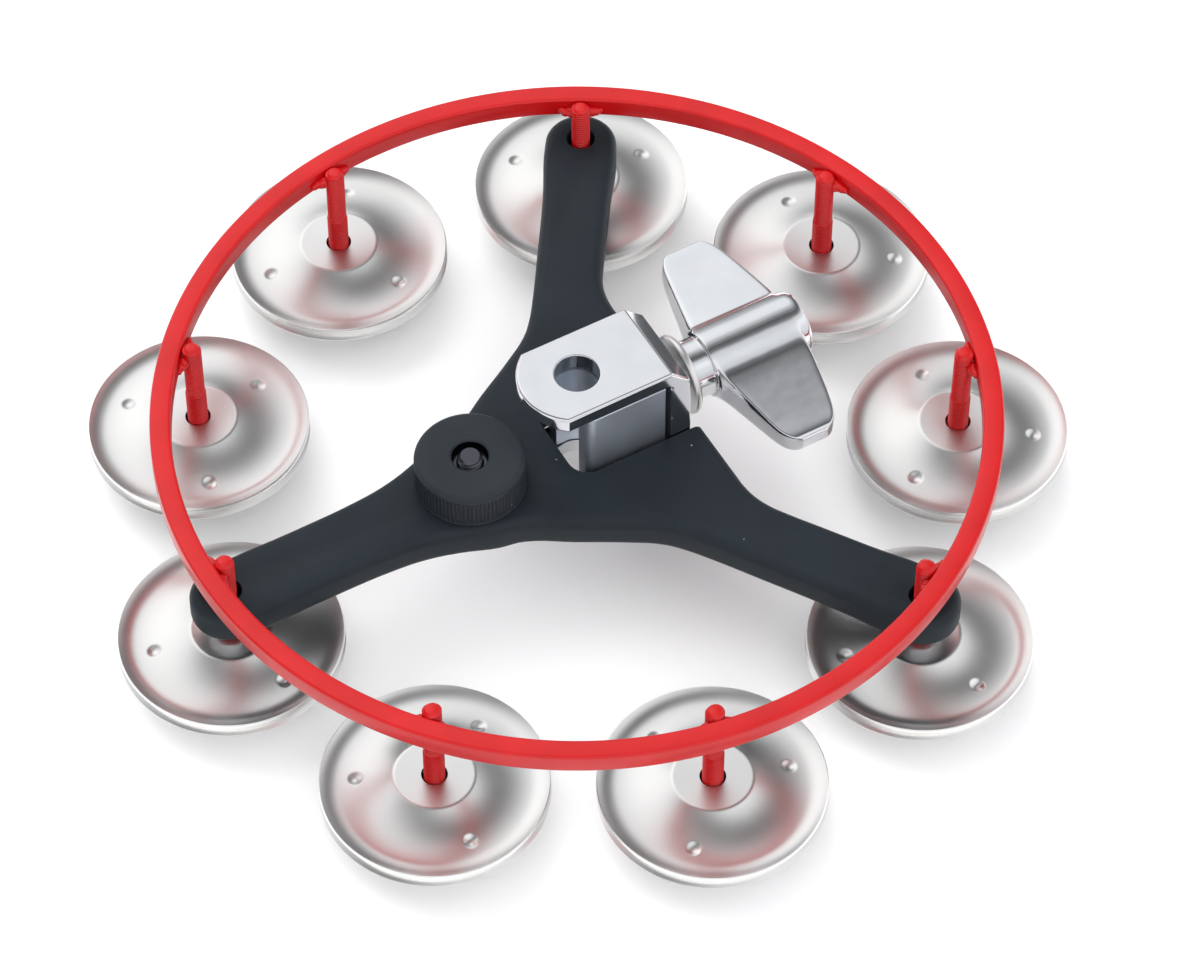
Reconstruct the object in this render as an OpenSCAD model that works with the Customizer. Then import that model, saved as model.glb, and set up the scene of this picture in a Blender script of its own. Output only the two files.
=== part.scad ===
// Rod-mounted jingle tambourine: a painted hoop with nine studs, a pair of jingles on each,
// a three-armed plastic spider under it and a screw clamp that grips an upright rod.
// The origin is where the rod's axis crosses the clamp screw's axis. Z is up the rod, and
// arm 1 of the spider points along +Y. The clamp points out between arms 1 and 4.

/* [Hoop] */
// Outside radius of the hoop
hoop_r = 100; // [96:0.5:106]
// Width of the hoop's square bar, across the hoop
hoop_w = 5; // [4:0.5:6]
// Height of the hoop's bar
hoop_h = 5.5; // [4.5:0.5:6.5]
// Height of the hoop's top face above the clamp screw's axis
hoop_top = 6; // [5:0.5:8]

/* [Studs] */
// Radius of the circle that the studs stand on
stud_circle = 92.6; // [90:0.1:92.7]
// Radius of a stud's plain shank
shank_r = 2.2; // [2:0.1:2.3]
// Outside radius of a stud's thread
thread_r = 2.5; // [2.3:0.1:2.6]
// Depth below the hoop's top at which the thread starts
thread_start = 15.8; // [12:0.2:18]
// Length of the welds along the hoop
weld_w = 11; // [8:0.5:13]

/* [Jingles] */
// Outside radius of a jingle
jingle_r = 26.4; // [24:0.2:28]
// Sheet thickness of a jingle
jingle_t = 0.7; // [0.5:0.1:0.8]
// Radius of the flat centre of a jingle
flat_r = 9.35; // [8:0.1:10]
// Radius of the lowest ring of a jingle's trough
trough_r = 22; // [20:0.5:23]
// Depth of the trough below the flat centre
trough_d = 3.3; // [2.5:0.1:3.5]
// Height of the turned-up lip above the trough
lip_h = 1.3; // [0.8:0.1:1.6]
// Height of the upper jingle's flat centre below the hoop's top
jingle_drop = 25.9; // [25:0.1:27]
// Gap between the two troughs of a pair
pair_gap = 0.4; // [0.3:0.1:1]

/* [Spider] */
// Half-width of an arm at its tip
arm_tip_r = 8.8; // [8:0.1:10]
// Distance from the centre to each side of the triangular hub
hub_r = 26.4; // [24:0.2:28]
// Thickness of the spider
spider_t = 9; // [8:0.5:10]
// Depth of the spider's top face below the hoop's top
spider_drop = 11.4; // [10.5:0.1:12.5]
// Radius of the rounding along the spider's edges
edge_r = 2.4; // [1:0.2:3]

/* [Clamp] */
// Radius of the rod holes
rod_r = 5.3; // [4:0.1:5.5]
// Width of the clamp housing
housing_w = 23; // [20:0.5:23.5]
// Thickness of the housing's plates
plate_t = 4.5; // [3.5:0.1:5]
// Distance from the rod's axis to the housing's outer wall face
wall_u = 24.1; // [23:0.1:25]
// Thickness of the housing's wall
wall_t = 5.3; // [4:0.1:5.5]
// Height of the upper plate's top face above the screw's axis
housing_top = 17.7; // [15:0.1:19]
// Radius of the clamp screw
screw_r = 4; // [3:0.5:4.5]
// Half-span of the wing bolt
wing_span_r = 32; // [26:0.5:34]

/* [Knob] */
// Distance from the rod's axis to the knob's axis
knob_u = 28.6; // [28:0.1:32]
// Radius of the knob
knob_r = 13.2; // [11:0.1:14]
// Height of the knob
knob_h = 10; // [8:0.5:12]
// Number of ridges around the knob
ridges = 84; // [40:4:100]

/* [Hidden] */
$fn = 96;

// Layout: nine places, numbered clockwise from the back; every third one carries an arm.
places = 9;
step = 360 / places;
arm_places = [1, 4, 7];
clamp_az = 30;
function place_az(i) = 90 - step * (i - 1);

// Heights worked out from the hoop's top.
stud_top = hoop_top + 0.2;
thread_top = hoop_top - thread_start;
flat_top = hoop_top - jingle_drop;
pair_mid = flat_top - trough_d - jingle_t - pair_gap / 2;
flat_bottom = 2 * pair_mid - flat_top;
spider_top = hoop_top - spider_drop;
spider_bottom = spider_top - spider_t;

// Fasteners under the jingles and under the arms (M5).
washer_t = 1;
washer_r = 5;
nut_flats = 8;
lock_nut_h = 5;
nylon_h = 1.2;
nylon_drop = 0.3;
nylon_r = 3.4;
collar_h = 1.2;
stud_over = 1.2;
washer_fit = 0.15;
arm_nut_h = 2.7;
thread_fit = 0.05;
stud_bottom = flat_bottom - washer_t - lock_nut_h - stud_over;

// Clamp.
fit_gap = 0.25;
half_w = housing_w / 2;
plate_end_r = 14.3;
bend_r = 5;
leg_t = 4;
lower_top = spider_bottom - 0.1;
lower_bottom = lower_top - leg_t;
upper_bottom = housing_top - plate_t;
wall_in = wall_u - wall_t;
leg_w = 20;
jaw_back = wall_in - 0.8;
jaw_tip = -2.6;
jaw_half = 10.5;
jaw_corner = 3;
jaw_edge = 1.8;
jaw_top = upper_bottom - 1;
jaw_bottom = lower_top + 0.5;
saddle_r = rod_r + 0.1;
slot_end = -6;
slot_corner = 5;

// Wing bolt and its washer: hub_start to hub_end is the stretch that carries the wings.
screw_tip = jaw_back + 0.15;
washer_in = wall_u + 2.8;
big_washer_t = 1.8;
big_washer_r = 10;
neck_start = washer_in + big_washer_t + 0.1;
neck_r = 7.3;
hub_start = 34;
hub_end = 60.5;
wing_hub_r = 8.4;
wing_t = 5;
wing_root_t = 12;
wing_tilt = 2.5;
bore_depth = 14;
screw_end = hub_start + bore_depth;
tip_corner = 4;
tip_u = 8.4;
shoulder_corner = 5;
shoulder_u = 16.6;

// Knob, its washer and its stud (M6), whose head is flush with the leg's underside.
stud6_r = 3;
head_r = 5;
head_h = 1.4;
knob_washer_r = 8;
knob_washer_t = 1;
insert_drop = 3.6;
knob_bottom = spider_top + 0.1;
knob_top = knob_bottom + knob_h;
ridge_d = 0.35;
rim_h = 0.7;
shoulder_h = 1.5;
insert_r = 4.35;

// Places its children on the stud circle at place i, turned to face outwards.
module at_place(i) {
    rotate([0, 0, place_az(i)]) translate([stud_circle, 0, 0]) children();
}

// Turns its children from the clamp's own axes (u along the screw) into the part's.
module in_clamp() {
    rotate([0, 0, clamp_az]) children();
}

// Rectangle with round corners, from its lower left corner.
module rounded_rect(w, h, r) {
    translate([r, 0]) square([w - 2 * r, h]);
    translate([0, r]) square([w, h - 2 * r]);
    for (x = [r, w - r], y = [r, h - r])
        translate([x, y]) circle(r = r, $fn = 32);
}

// Flat washer standing on z = 0.
module flat_washer(outer, inner, thick) {
    difference() {
        cylinder(r = outer, h = thick);
        translate([0, 0, -1]) cylinder(r = inner, h = thick + 2);
    }
}

module hoop() {
    color([0.85, 0.08, 0.08])
        rotate_extrude($fn = 180)
            translate([hoop_r - hoop_w, hoop_top - hoop_h])
                rounded_rect(hoop_w, hoop_h, 0.7);
}

// One stud: plain shank above, thread below, both ends chamfered.
module stud() {
    chamfer = 0.4;
    rotate_extrude($fn = 48)
        polygon([
            [0, stud_bottom], [thread_r - 0.6, stud_bottom],
            [thread_r, stud_bottom + 0.6], [thread_r, thread_top - 0.4],
            [shank_r, thread_top], [shank_r, stud_top - chamfer],
            [shank_r - chamfer, stud_top], [0, stud_top]
        ]);
}

module studs() {
    color([0.85, 0.08, 0.08])
        for (i = [1:places]) at_place(i) stud();
}

// Weld between a stud and the hoop's inner wall: wide at the hoop, narrow at the stud.
module stud_welds() {
    bead_low = hoop_top - hoop_h + 0.5;
    bead_h = 3.2;
    neck = shank_r + 0.4;
    color([0.82, 0.07, 0.07])
        for (i = [1:places])
            intersection() {
                translate([0, 0, bead_low - 1]) cylinder(r = hoop_r - hoop_w, h = bead_h + 2, $fn = 180);
                at_place(i) translate([0, 0, bead_low]) difference() {
                    linear_extrude(bead_h)
                        polygon([
                            [3, -weld_w / 2], [1.9, -weld_w / 4], [0, -neck],
                            [-1.2, 0.2 - neck], [-1.2, neck - 0.2], [0, neck],
                            [1.9, weld_w / 4], [3, weld_w / 2]
                        ]);
                    translate([0, 0, -1]) cylinder(r = shank_r, h = bead_h + 2, $fn = 48);
                }
            }
}

module stud_washers() {
    color([0.75, 0.76, 0.78])
        for (i = [1:places])
            at_place(i) translate([0, 0, flat_bottom - washer_t])
                flat_washer(washer_r, thread_r + washer_fit, washer_t);
}

// Hexagon nut whose nylon ring sits in a pocket at its lower end.
module lock_nuts() {
    color([0.7, 0.71, 0.73])
        for (i = [1:places])
            at_place(i) translate([0, 0, flat_bottom - washer_t - lock_nut_h])
                difference() {
                    union() {
                        translate([0, 0, collar_h])
                            cylinder(d = nut_flats / cos(30), h = lock_nut_h - collar_h, $fn = 6);
                        cylinder(r = nut_flats / 2 - 0.1, h = lock_nut_h - 0.5);
                    }
                    translate([0, 0, -1]) cylinder(r = thread_r + thread_fit, h = lock_nut_h + 2);
                    translate([0, 0, nylon_drop]) cylinder(r = nylon_r, h = nylon_h);
                }
}

module lock_nut_rings() {
    color([0.85, 0.86, 0.88])
        for (i = [1:places])
            at_place(i) translate([0, 0, flat_bottom - washer_t - lock_nut_h + nylon_drop])
                flat_washer(nylon_r, thread_r + thread_fit, nylon_h);
}

module arm_washers() {
    color([0.75, 0.76, 0.78])
        for (i = arm_places)
            at_place(i) translate([0, 0, spider_bottom - washer_t])
                flat_washer(washer_r, thread_r + washer_fit, washer_t);
}

module arm_nuts() {
    color([0.7, 0.71, 0.73])
        for (i = arm_places)
            at_place(i) translate([0, 0, spider_bottom - washer_t - arm_nut_h])
                difference() {
                    cylinder(d = nut_flats / cos(30), h = arm_nut_h, $fn = 6);
                    translate([0, 0, -1]) cylinder(r = thread_r + thread_fit, h = arm_nut_h + 2);
                }
}

// Half of the spider's outline in the clamp's axes. The other half is its mirror image.
// The arm at 180 degrees is symmetric, so half of it is here. The arm at -60 degrees is whole:
// bent(d, k) is a point d along it and k to its side away from the first arm.
function bent(d, k) = [d / 2 + k * cos(30), -d * cos(30) + k / 2];
function along_hub(s) = [-hub_r / 2 + s * cos(30), -hub_r * cos(30) - s / 2];
function side_y(t) = arm_tip_r + 0.6 * t;
spider_half = [
    [-stud_circle, 0], [-stud_circle, -arm_tip_r], [-70, -side_y(0.1)], [-54, -side_y(0.8)],
    [-46, -side_y(2.4)], [-38, -side_y(6)], [-30, -side_y(11)], along_hub(-12),
    along_hub(0), along_hub(12), bent(31, -13.2), bent(36, -12), bent(43, -11.2),
    bent(55, -10.4), bent(75, -9.2), bent(stud_circle, -arm_tip_r),
    bent(stud_circle, arm_tip_r), bent(75, 7.4), bent(62, 6.4), bent(54, 5.8), bent(49, 5.7),
    bent(45, 6.3), bent(41, 7.8), [27.2, -26], [27.2, 0]
];

module spider_outline() {
    offset(r = 1.6, $fn = 16) offset(delta = -1.6)
        for (m = [0, 1]) mirror([0, m]) {
            polygon(spider_half);
            rotate(-60) translate([stud_circle, 0]) circle(r = arm_tip_r, $fn = 48);
        }
    translate([-stud_circle, 0]) circle(r = arm_tip_r, $fn = 48);
}

// Slot that the clamp housing's wall and jaw stand in, open towards the wing bolt.
module slot_outline() {
    w = half_w + fit_gap;
    translate([slot_end, -w]) rounded_rect(40, 2 * w, slot_corner);
}

// The edges are rounded by a stack of prisms: each is taller and narrower than the last.
module spider() {
    layers = 3;
    recess_r = 3.9;
    recess_d = 4.5;
    color([0.17, 0.19, 0.2])
        difference() {
            in_clamp() for (n = [0:layers]) {
                rise = edge_r * sin(90 * n / layers);
                inset = n == 0 ? 0 : edge_r * (1 - cos(90 * (n - 0.5) / layers));
                translate([0, 0, spider_bottom + edge_r - rise])
                    linear_extrude(spider_t - 2 * edge_r + 2 * rise)
                        offset(delta = -inset) spider_outline();
            }
            in_clamp() translate([0, 0, spider_bottom - 1]) linear_extrude(spider_t + 2) slot_outline();
            for (i = arm_places) at_place(i) {
                translate([0, 0, spider_bottom - 1]) cylinder(r = thread_r + thread_fit, h = spider_t + 2);
                translate([0, 0, spider_top - recess_d]) cylinder(r = recess_r, h = recess_d + 1);
            }
            in_clamp() translate([-knob_u, 0, spider_bottom - 1]) cylinder(r = stud6_r + 0.3, h = spider_t + 2);
        }
}

// Folded housing: upper plate, a flat facet along the upper fold, outer wall, and a lower leg that
// reaches back under the spider to carry the knob's stud.
module clamp_housing() {
    color([0.82, 0.84, 0.86])
        in_clamp() difference() {
            union() {
                intersection() {
                    rotate([90, 0, 0]) translate([0, 0, -half_w]) linear_extrude(housing_w)
                        difference() {
                            union() {
                                translate([-20, lower_bottom])
                                    square([wall_u + 20 - bend_r, housing_top - lower_bottom]);
                                translate([wall_u - bend_r - 1, lower_bottom + bend_r])
                                    square([bend_r + 1, housing_top - lower_bottom - 2 * bend_r]);
                                translate([wall_u - bend_r, lower_bottom + bend_r]) circle(r = bend_r);
                                translate([wall_u - bend_r, housing_top - bend_r])
                                    polygon([[-1, 0], [bend_r, 0], [0, bend_r], [-1, bend_r]]);
                            }
                            translate([-30, lower_top]) square([30 + wall_in, upper_bottom - lower_top]);
                        }
                    translate([0, 0, lower_bottom - 1])
                        linear_extrude(housing_top - lower_bottom + 2) union() {
                            intersection() {
                                circle(r = plate_end_r);
                                translate([-20, -half_w]) square([30, housing_w]);
                            }
                            translate([0, -half_w]) square([wall_u, housing_w]);
                        }
                }
                translate([0, 0, lower_bottom]) linear_extrude(lower_top - lower_bottom) union() {
                    translate([-knob_u, -leg_w / 2]) square([knob_u, leg_w]);
                    translate([-knob_u, 0]) circle(r = leg_w / 2);
                }
            }
            translate([0, 0, lower_bottom - 1]) cylinder(r = rod_r, h = housing_top - lower_bottom + 2);
            translate([wall_in - 2, 0, 0]) rotate([0, 90, 0]) cylinder(r = screw_r + thread_fit, h = wall_t + 4);
            translate([-knob_u, 0, lower_bottom - 1]) {
                cylinder(r = stud6_r + thread_fit, h = leg_t + 2);
                cylinder(r = head_r + thread_fit, h = head_h + 1);
            }
        }
}

// Sliding jaw: a block with a saddle that goes half round the rod.
module clamp_jaw() {
    len = jaw_back - jaw_tip;
    height = jaw_top - jaw_bottom;
    color([0.78, 0.8, 0.82])
        in_clamp() difference() {
            intersection() {
                translate([jaw_tip, 0, 0]) rotate([90, 0, 90])
                    linear_extrude(len) translate([-jaw_half, jaw_bottom])
                        rounded_rect(2 * jaw_half, height, jaw_edge);
                translate([jaw_tip, -jaw_half, jaw_bottom - 1])
                    linear_extrude(height + 2) union() {
                        rounded_rect(len, 2 * jaw_half, jaw_corner);
                        translate([len / 2, 0]) square([len / 2, 2 * jaw_half]);
                    }
            }
            translate([0, 0, jaw_bottom - 1]) linear_extrude(height + 2) union() {
                circle(r = saddle_r);
                translate([-20, -saddle_r]) square([20, 2 * saddle_r]);
            }
        }
}

module clamp_screw() {
    color([0.75, 0.76, 0.78])
        in_clamp() translate([screw_tip, 0, 0]) rotate([0, 90, 0])
            rotate_extrude($fn = 64)
                polygon([
                    [0, 0], [screw_r - 1, 0], [screw_r, 1],
                    [screw_r, screw_end - screw_tip], [0, screw_end - screw_tip]
                ]);
}

module clamp_washer() {
    color([0.85, 0.86, 0.87])
        in_clamp() translate([washer_in, 0, 0]) rotate([0, 90, 0])
            flat_washer(big_washer_r, screw_r + 0.3, big_washer_t);
}

// One wing: a thick root at the hub that thins to a rounded tip.
module wing() {
    hull() {
        translate([hub_start + 0.6, 0, -wing_root_t / 2])
            cube([hub_end - hub_start - 4, 4, wing_root_t]);
        translate([hub_start + tip_u, wing_span_r - tip_corner, -wing_t / 2])
            cylinder(r = tip_corner, h = wing_t, $fn = 32);
        translate([hub_start + shoulder_u, wing_span_r - shoulder_corner - 0.4, -wing_t / 2])
            cylinder(r = shoulder_corner, h = wing_t, $fn = 32);
    }
}

module wing_bolt() {
    color([0.86, 0.87, 0.89])
        in_clamp() rotate([wing_tilt, 0, 0]) difference() {
            union() {
                rotate([0, 90, 0]) rotate_extrude($fn = 72)
                    polygon([
                        [0, neck_start], [neck_r - 0.5, neck_start], [neck_r, neck_start + 0.5],
                        [neck_r, hub_start - 0.4], [wing_hub_r, hub_start + 0.8],
                        [wing_hub_r, hub_end - 2], [wing_hub_r - 0.7, hub_end - 0.7],
                        [wing_hub_r - 2, hub_end], [0, hub_end]
                    ]);
                wing();
                mirror([0, 1, 0]) wing();
            }
            rotate([0, 90, 0]) cylinder(r = screw_r + 0.02, h = screw_end, $fn = 64);
        }
}

// Outline of the ridged side of the knob.
function ridge_point(n) =
    let (r = knob_r - (n % 2 == 0 ? 0 : ridge_d), a = 180 * n / ridges) [r * cos(a), r * sin(a)];

module knob() {
    color([0.16, 0.17, 0.18])
        in_clamp() translate([-knob_u, 0, 0]) difference() {
            union() {
                translate([0, 0, knob_bottom]) cylinder(r = knob_r + 0.05, h = rim_h);
                translate([0, 0, knob_bottom + rim_h])
                    linear_extrude(knob_h - rim_h - shoulder_h)
                        polygon([for (n = [0:2 * ridges - 1]) ridge_point(n)]);
                translate([0, 0, knob_top - shoulder_h]) rotate_extrude()
                    polygon([
                        [0, 0], [knob_r - 2 * ridge_d, 0], [knob_r - 1, shoulder_h * 0.7],
                        [knob_r - 1.7, shoulder_h], [0, shoulder_h]
                    ]);
            }
            translate([0, 0, knob_bottom - 1]) cylinder(r = insert_r, h = knob_h + 2);
            translate([0, 0, knob_bottom - 1]) cylinder(r = knob_washer_r + 0.2, h = knob_washer_t + 1.1);
        }
}

module knob_insert() {
    color([0.72, 0.7, 0.66])
        in_clamp() translate([-knob_u, 0, knob_bottom + knob_washer_t + 0.1])
            flat_washer(insert_r, stud6_r + thread_fit, knob_h - insert_drop);
}

module knob_washer() {
    color([0.75, 0.76, 0.78])
        in_clamp() translate([-knob_u, 0, spider_top])
            flat_washer(knob_washer_r, stud6_r + 0.3, knob_washer_t);
}

// Stud pressed into the housing's leg from below, with a flush head.
module knob_stud() {
    color([0.6, 0.6, 0.6])
        in_clamp() translate([-knob_u, 0, 0]) rotate_extrude($fn = 64)
            polygon([
                [0, lower_bottom], [head_r, lower_bottom], [head_r, lower_bottom + head_h],
                [stud6_r, lower_bottom + head_h], [stud6_r, knob_top - 0.7],
                [stud6_r - 0.7, knob_top], [0, knob_top]
            ]);
}

// Height of a jingle's upper surface at radius r, measured from its flat centre.
function dish(r) =
    r <= flat_r ? 0 :
    r <= trough_r ? -trough_d * (1 - pow((trough_r - r) / (trough_r - flat_r), 2)) :
    -trough_d + lip_h * pow((r - trough_r) / (jingle_r - trough_r), 2);

dish_steps = [for (n = [0:5]) flat_r + (trough_r - flat_r) * n / 5];
lip_steps = [for (n = [1:3]) trough_r + (jingle_r - trough_r) * n / 3];
dish_radii = concat([thread_r + 0.45], dish_steps, lip_steps);

// A jingle with its flat centre uppermost, and three dimples pressed into it.
module jingle(turn) {
    last = len(dish_radii) - 1;
    dimple_at = 0.69 * jingle_r;
    color([0.78, 0.78, 0.77])
        difference() {
            rotate_extrude()
                polygon(concat(
                    [for (r = dish_radii) [r, dish(r)]],
                    [for (n = [last:-1:0]) [dish_radii[n], dish(dish_radii[n]) - jingle_t]]
                ));
            for (n = [0:2]) rotate(turn + 120 * n)
                translate([dimple_at, 0, dish(dimple_at) + 1.9]) sphere(r = 2.2, $fn = 32);
        }
}

// How far each pair happens to have turned on its stud.
rest_turns = [64, 65, 105, 105, 86, 48, 105, 111, 76];
function pair_turn(i) = rest_turns[i - 1];

module jingle_upper(i) {
    at_place(i) translate([0, 0, flat_top]) jingle(pair_turn(i));
}

module jingle_lower(i) {
    at_place(i) translate([0, 0, flat_bottom]) mirror([0, 0, 1]) jingle(pair_turn(i) + 61);
}

hoop();
studs();
stud_welds();
stud_washers();
lock_nuts();
lock_nut_rings();
arm_washers();
arm_nuts();
spider();
clamp_housing();
clamp_jaw();
clamp_screw();
clamp_washer();
wing_bolt();
knob();
knob_insert();
knob_washer();
knob_stud();
jingle_upper(1);  // jingle_1_upper
jingle_lower(1);  // jingle_1_lower
jingle_upper(2);  // jingle_2_upper
jingle_lower(2);  // jingle_2_lower
jingle_upper(3);  // jingle_3_upper
jingle_lower(3);  // jingle_3_lower
jingle_upper(4);  // jingle_4_upper
jingle_lower(4);  // jingle_4_lower
jingle_upper(5);  // jingle_5_upper
jingle_lower(5);  // jingle_5_lower
jingle_upper(6);  // jingle_6_upper
jingle_lower(6);  // jingle_6_lower
jingle_upper(7);  // jingle_7_upper
jingle_lower(7);  // jingle_7_lower
jingle_upper(8);  // jingle_8_upper
jingle_lower(8);  // jingle_8_lower
jingle_upper(9);  // jingle_9_upper
jingle_lower(9);  // jingle_9_lower
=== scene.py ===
"""Rod-mounted tambourine: the finished pieces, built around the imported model.

Every piece stands where its CAD node stands. Lengths are in metres, Z is up the rod, and the
clamp points out at 30 degrees from X between arms 1 and 4 of the spider.
"""

import math
import random

import bmesh
import bpy
from mathutils import Matrix, Vector


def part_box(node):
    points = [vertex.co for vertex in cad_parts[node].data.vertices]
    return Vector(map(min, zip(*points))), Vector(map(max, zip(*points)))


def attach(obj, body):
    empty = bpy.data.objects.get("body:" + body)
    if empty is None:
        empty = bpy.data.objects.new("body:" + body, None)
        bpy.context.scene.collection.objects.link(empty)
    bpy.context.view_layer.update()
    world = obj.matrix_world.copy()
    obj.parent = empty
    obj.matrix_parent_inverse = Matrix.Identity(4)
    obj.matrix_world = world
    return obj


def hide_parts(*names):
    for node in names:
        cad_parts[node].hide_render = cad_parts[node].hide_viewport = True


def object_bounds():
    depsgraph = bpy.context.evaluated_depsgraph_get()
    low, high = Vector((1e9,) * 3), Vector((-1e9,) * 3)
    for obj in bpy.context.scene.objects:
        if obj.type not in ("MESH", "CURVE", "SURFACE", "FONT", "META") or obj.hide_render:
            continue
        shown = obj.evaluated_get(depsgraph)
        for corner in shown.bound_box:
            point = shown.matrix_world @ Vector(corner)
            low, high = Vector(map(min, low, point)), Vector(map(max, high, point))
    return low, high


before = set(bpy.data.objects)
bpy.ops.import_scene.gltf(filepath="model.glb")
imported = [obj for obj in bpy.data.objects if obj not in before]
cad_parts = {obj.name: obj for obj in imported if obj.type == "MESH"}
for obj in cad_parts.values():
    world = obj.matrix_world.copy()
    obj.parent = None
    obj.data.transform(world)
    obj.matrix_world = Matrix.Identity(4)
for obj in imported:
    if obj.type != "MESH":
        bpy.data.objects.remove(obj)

bl_info = {
    "name": "Rod-Mounted Tambourine",
    "version": (1, 0, 0),
    "blender": (4, 5, 0),
    "location": "3D View > Sidebar > Tambourine",
    "description": "Builds a jingle ring with its spider, rod clamp, knob and fasteners",
    "category": "Add Mesh",
}

MM = 0.001
FULL_TURN = 2 * math.pi
CAD_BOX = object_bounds()
PLACES = range(1, 1 + sum(name.endswith("_upper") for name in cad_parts))
ARM_PLACES = tuple(PLACES)[::3]
# Degrees that each pair of jingles happens to have turned on its stud.
REST_TURNS = (64, 65, 105, 105, 86, 48, 105, 111, 76)
CLAMP_AZIMUTH = math.radians(30)


def node_low(node):
    """Lowest height of a CAD node."""
    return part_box(node)[0].z


def node_high(node):
    """Highest height of a CAD node."""
    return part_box(node)[1].z


def place_azimuth(place):
    """Direction of a stud: place 1 is at the back, and the places run clockwise."""
    return math.radians(90) - FULL_TURN * (place - 1) / len(PLACES)


# ------------------------------------------------------------------------------ settings

def length(name, description, default):
    """A length property of a piece."""
    return bpy.props.FloatProperty(
        name=name, description=description, default=default, unit="LENGTH", precision=5
    )


def colour(name, description, default):
    """A colour property of a finish."""
    return bpy.props.FloatVectorProperty(
        name=name, description=description, default=default, subtype="COLOR", size=3, min=0, max=1
    )


def count(name, description, default):
    """A whole-number property."""
    return bpy.props.IntProperty(name=name, description=description, default=default, min=3)


class HoopSettings(bpy.types.PropertyGroup):
    radius: length("Radius", "Outside radius of the hoop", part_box("hoop")[1].x)
    bar: length("Bar width", "Width of the square bar across the hoop", 5 * MM)
    edge: length("Bar edge", "Rounding along the bar's edges", 0.75 * MM)
    steps: count("Steps", "Segments around the hoop", 288)
    stud_circle: length("Stud circle", "Radius of the circle the studs stand on", 92.6 * MM)
    shank: length("Shank", "Radius of a stud's plain upper part", 2.28 * MM)
    crest: length("Thread crest", "Outside radius of the stud's thread", 2.5 * MM)
    root: length("Thread root", "Radius at the bottom of the thread, filled with paint", 2.05 * MM)
    pitch: length("Thread pitch", "Rise of the stud's thread in one turn", 0.8 * MM)
    thread_top: length(
        "Thread top", "Height at which the thread starts", node_high("hoop") - 15.8 * MM
    )
    weld: length("Weld length", "Length of a weld along the hoop", 11 * MM)
    paint: colour("Paint", "Red of the enamel", (0.5, 0.0022, 0.0038))


class JingleSettings(bpy.types.PropertyGroup):
    radius: length("Radius", "Outside radius of a jingle", 26.4 * MM)
    sheet: length("Sheet", "Thickness of the sheet", 0.7 * MM)
    flat: length("Flat", "Radius of the flat centre", 9.35 * MM)
    trough: length("Trough", "Radius of the deepest ring", 22 * MM)
    depth: length("Depth", "Depth of the trough below the flat centre", 3.3 * MM)
    lip: length("Lip", "Rise of the rim above the trough", 1.3 * MM)
    hole: length("Hole", "Radius of the stud hole", 2.95 * MM)
    dimple: length("Dimple", "Radius of a dimple", 1.9 * MM)
    dimple_depth: length("Dimple depth", "Depth of a dimple", 0.55 * MM)
    dimple_circle: length("Dimple circle", "Radius of the circle of dimples", 18.2 * MM)
    steps: count("Steps", "Segments around a jingle", 150)
    steel: colour("Steel", "Reflected colour of the bare steel", (0.95, 0.945, 0.935))


class SpiderSettings(bpy.types.PropertyGroup):
    edge: length("Edge", "Rounding along the moulding's edges", 2.6 * MM)
    tip: length("Arm tip", "Radius of the round arm tips", 8.8 * MM)
    hub: length("Hub", "Distance from the centre to a side of the hub", 26.4 * MM)
    front: length("Clamp side", "Distance from the centre to the side by the wing bolt", 27.2 * MM)
    recess: length("Recess", "Radius of the recess round a stud", 3.5 * MM)
    recess_depth: length("Recess depth", "Depth of the recess round a stud", 4.5 * MM)
    slot_end: length("Slot end", "Where the clamp's slot ends behind the rod", -6 * MM)
    slot_width: length("Slot width", "Width of the clamp's slot", 23.5 * MM)
    plastic: colour("Plastic", "Colour of the charcoal moulding", (0.013, 0.0185, 0.023))


class ClampSettings(bpy.types.PropertyGroup):
    width: length("Housing width", "Width of the folded housing", 23 * MM)
    plate: length("Plate", "Thickness of the upper plate", 4.5 * MM)
    wall: length("Wall", "Thickness of the folded wall", 5.3 * MM)
    reach: length("Reach", "Distance from the rod to the wall's outer face", 24.1 * MM)
    bend: length("Bend", "Outside radius of the folds", 5 * MM)
    rod: length("Rod hole", "Radius of the rod holes", 5.3 * MM)
    nose: length("Nose", "Radius of the upper plate's round end", 14.3 * MM)
    leg: length("Leg", "Thickness of the leg under the spider", 4 * MM)
    jaw_tip: length("Jaw tip", "Where the jaw's horns end", -2.6 * MM)
    jaw_back: length("Jaw back", "Where the jaw's back face is", 18 * MM)
    jaw_width: length("Jaw width", "Width of the jaw", 21 * MM)
    screw: length("Screw", "Radius of the clamp screw", 4 * MM)
    hub: length("Wing hub", "Radius of the wing bolt's hub", 8.4 * MM)
    neck: length("Neck", "Radius of the wing bolt's neck", 7.3 * MM)
    chrome: colour("Chrome", "Reflected colour of the plating", (0.80, 0.815, 0.835))


class KnobSettings(bpy.types.PropertyGroup):
    axis: length("Axis", "Distance from the rod to the knob's axis", -28.6 * MM)
    radius: length("Radius", "Outside radius over the ridges", 13.2 * MM)
    ridges: count("Ridges", "Ridges around the knob", 84)
    ridge_depth: length("Ridge depth", "Depth of the grooves between the ridges", 0.38 * MM)
    bore: length("Bore", "Radius of the bore that holds the bush", 4.35 * MM)
    stud: length("Stud", "Radius of the knob's stud", 3 * MM)
    plastic: colour("Plastic", "Colour of the knob's moulding", (0.021, 0.026, 0.031))


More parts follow.
